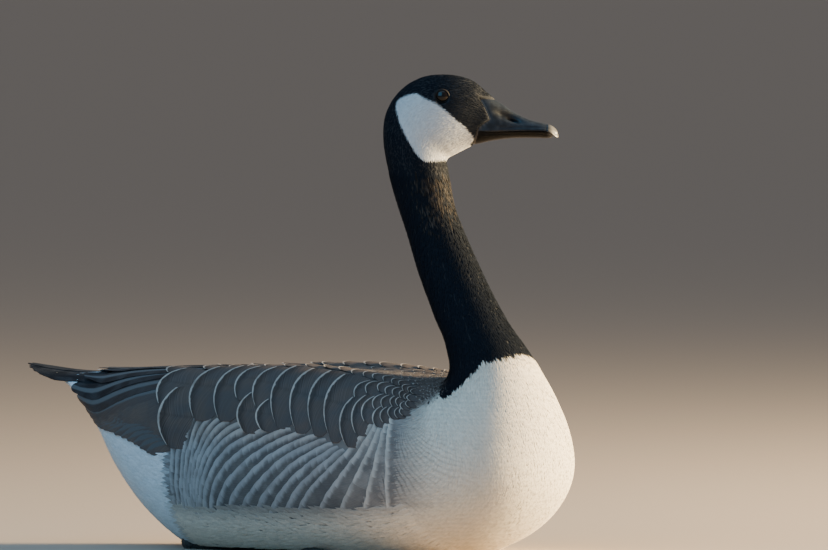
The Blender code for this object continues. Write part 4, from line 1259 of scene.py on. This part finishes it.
def wet_material():
    """A dark brown iris round a black pupil, under a clear wet surface."""
    shader = Shader("eye_wet", 0.06, 0.4)
    brown = shader.mix(shader.noise(1500.0, 3.0), (0.0025, 0.0014, 0.0010), (0.0060, 0.0032, 0.0020))
    shader.set("Base Color", shader.mix(shader.attribute("iris", 2), (0.003, 0.003, 0.003), brown))
    return shader.material


def lid_material():
    shader = Shader("lid_skin", 0.7, 0.2)
    grain = shader.noise(1200.0, 4.0)
    shader.set("Base Color", shader.mix(grain, (0.006, 0.005, 0.005), (0.020, 0.017, 0.016)))
    shader.bump(grain, 0.4, 0.0003)
    return shader.material


class GOOSE_OT_eyes(bpy.types.Operator):
    """Set both eyes in their lids"""

    bl_idname = "goose.eyes"
    bl_label = "Eyes"

    def execute(self, context):
        wet = wet_material()
        skin = lid_material()
        for side, word in ((1, "left"), (-1, "right")):
            eye = assign(eyeball(side, word), wet)
            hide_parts("eye_" + word)
            assign(lid(side, word), skin)
        return {"FINISHED"}


METRES_PER_PIXEL = 0.0008
PICTURE_WIDTH = 828
PICTURE_CENTRE = (0.0544, 0.2204)
TARGET_Z = 0.05
SENSOR_WIDTH = 36

# Each light: name, place as (right, towards the camera, up) of the picture, size, power and colour
LIGHTS = (
    ("key", (3.4, -0.60, 0.65), 0.9, 980, (1.0, 0.76, 0.43)),
    ("fill", (-1.6, 2.6, 2.0), 3.0, 66, (0.12, 0.56, 1.0)),
    ("top", (0.0, 0.3, 3.0), 3.0, 24, (0.42, 0.70, 1.0)),
)
LIGHTS_AIM = Vector((0, 0, 0.15))
FLOOR_SIZE, FLOOR_COLOR = 300.0, (0.47, 0.38, 0.31)
ROOM_COLOR, ROOM_STRENGTH = (0.68, 0.74, 0.82, 1), 0.35


def place_camera(scene, right, away):
    """The camera, with the bird where the picture shows it."""
    distance = scene.goose_sizes.camera_distance
    data = bpy.data.cameras.new("camera")
    data.sensor_width = SENSOR_WIDTH
    data.lens = SENSOR_WIDTH * distance / (PICTURE_WIDTH * METRES_PER_PIXEL)
    data.clip_end = 1000
    eye = bpy.data.objects.new("camera", data)
    forward = Matrix.Rotation(-scene.goose_sizes.camera_elevation, 3, right) @ away
    up = right.cross(forward)
    target = right * PICTURE_CENTRE[0] + up * (PICTURE_CENTRE[1] - TARGET_Z) + Vector((0, 0, TARGET_Z))
    eye.location = target - forward * distance
    eye.rotation_euler = forward.to_track_quat("-Z", "Y").to_euler()
    scene.collection.objects.link(eye)
    scene.camera = eye


class GOOSE_OT_stage(bpy.types.Operator):
    """Set the floor, the lights and the camera"""

    bl_idname = "goose.stage"
    bl_label = "Stage"

    def execute(self, context):
        scene = context.scene
        bm = bmesh.new()
        bmesh.ops.create_grid(bm, x_segments=8, y_segments=8, size=FLOOR_SIZE)
        floor = object_from(bm, "floor")
        paper = Shader("floor_paper", 0.9)
        paper.set("Base Color", FLOOR_COLOR)
        assign(floor, paper.material)
        azimuth = scene.goose_sizes.camera_azimuth
        right = Vector((math.cos(azimuth), math.sin(azimuth), 0))
        towards = Vector((right.y, -right.x, 0))
        place_camera(scene, right, -towards)
        for name, (across, near, up), size, power, color in LIGHTS:
            light = bpy.data.lights.new(name, "AREA")
            light.size = size
            light.energy = power
            light.color = color
            lamp = bpy.data.objects.new(name, light)
            lamp.location = right * across + towards * near + Vector((0, 0, up))
            lamp.rotation_euler = (LIGHTS_AIM - lamp.location).to_track_quat("-Z", "Y").to_euler()
            scene.collection.objects.link(lamp)
        scene.world = bpy.data.worlds.new("studio")
        scene.world.use_nodes = True
        background = scene.world.node_tree.nodes["Background"]
        background.inputs["Color"].default_value = ROOM_COLOR
        background.inputs["Strength"].default_value = ROOM_STRENGTH
        return {"FINISHED"}


class GOOSE_PT_panel(bpy.types.Panel):
    """Lists the colours, the sizes and the steps that build the goose"""

    bl_label = "Goose"
    bl_space_type = "VIEW_3D"
    bl_region_type = "UI"
    bl_category = "Goose"

    def draw(self, context):
        for group in (context.scene.goose_colors, context.scene.goose_sizes):
            for word in type(group).__annotations__:
                self.layout.prop(group, word)
        for operator in OPERATORS:
            self.layout.operator(operator.bl_idname)


OPERATORS = (GOOSE_OT_skin, GOOSE_OT_plumes, GOOSE_OT_flanks, GOOSE_OT_wings, GOOSE_OT_tail, GOOSE_OT_feet,
             GOOSE_OT_bill, GOOSE_OT_eyes, GOOSE_OT_stage)
CLASSES = (GooseColors, GooseSizes, *OPERATORS, GOOSE_PT_panel)


def register():
    for item in CLASSES:
        bpy.utils.register_class(item)
    bpy.types.Scene.goose_colors = bpy.props.PointerProperty(type=GooseColors)
    bpy.types.Scene.goose_sizes = bpy.props.PointerProperty(type=GooseSizes)


def unregister():
    del bpy.types.Scene.goose_sizes
    del bpy.types.Scene.goose_colors
    for item in reversed(CLASSES):
        bpy.utils.unregister_class(item)


def main():
    register()
    bpy.ops.goose.skin()
    bpy.ops.goose.plumes()
    bpy.ops.goose.flanks()
    bpy.ops.goose.wings()
    bpy.ops.goose.tail()
    bpy.ops.goose.feet()
    bpy.ops.goose.bill()
    bpy.ops.goose.eyes()
    bpy.ops.goose.stage()


if __name__ == "__main__":
    main()
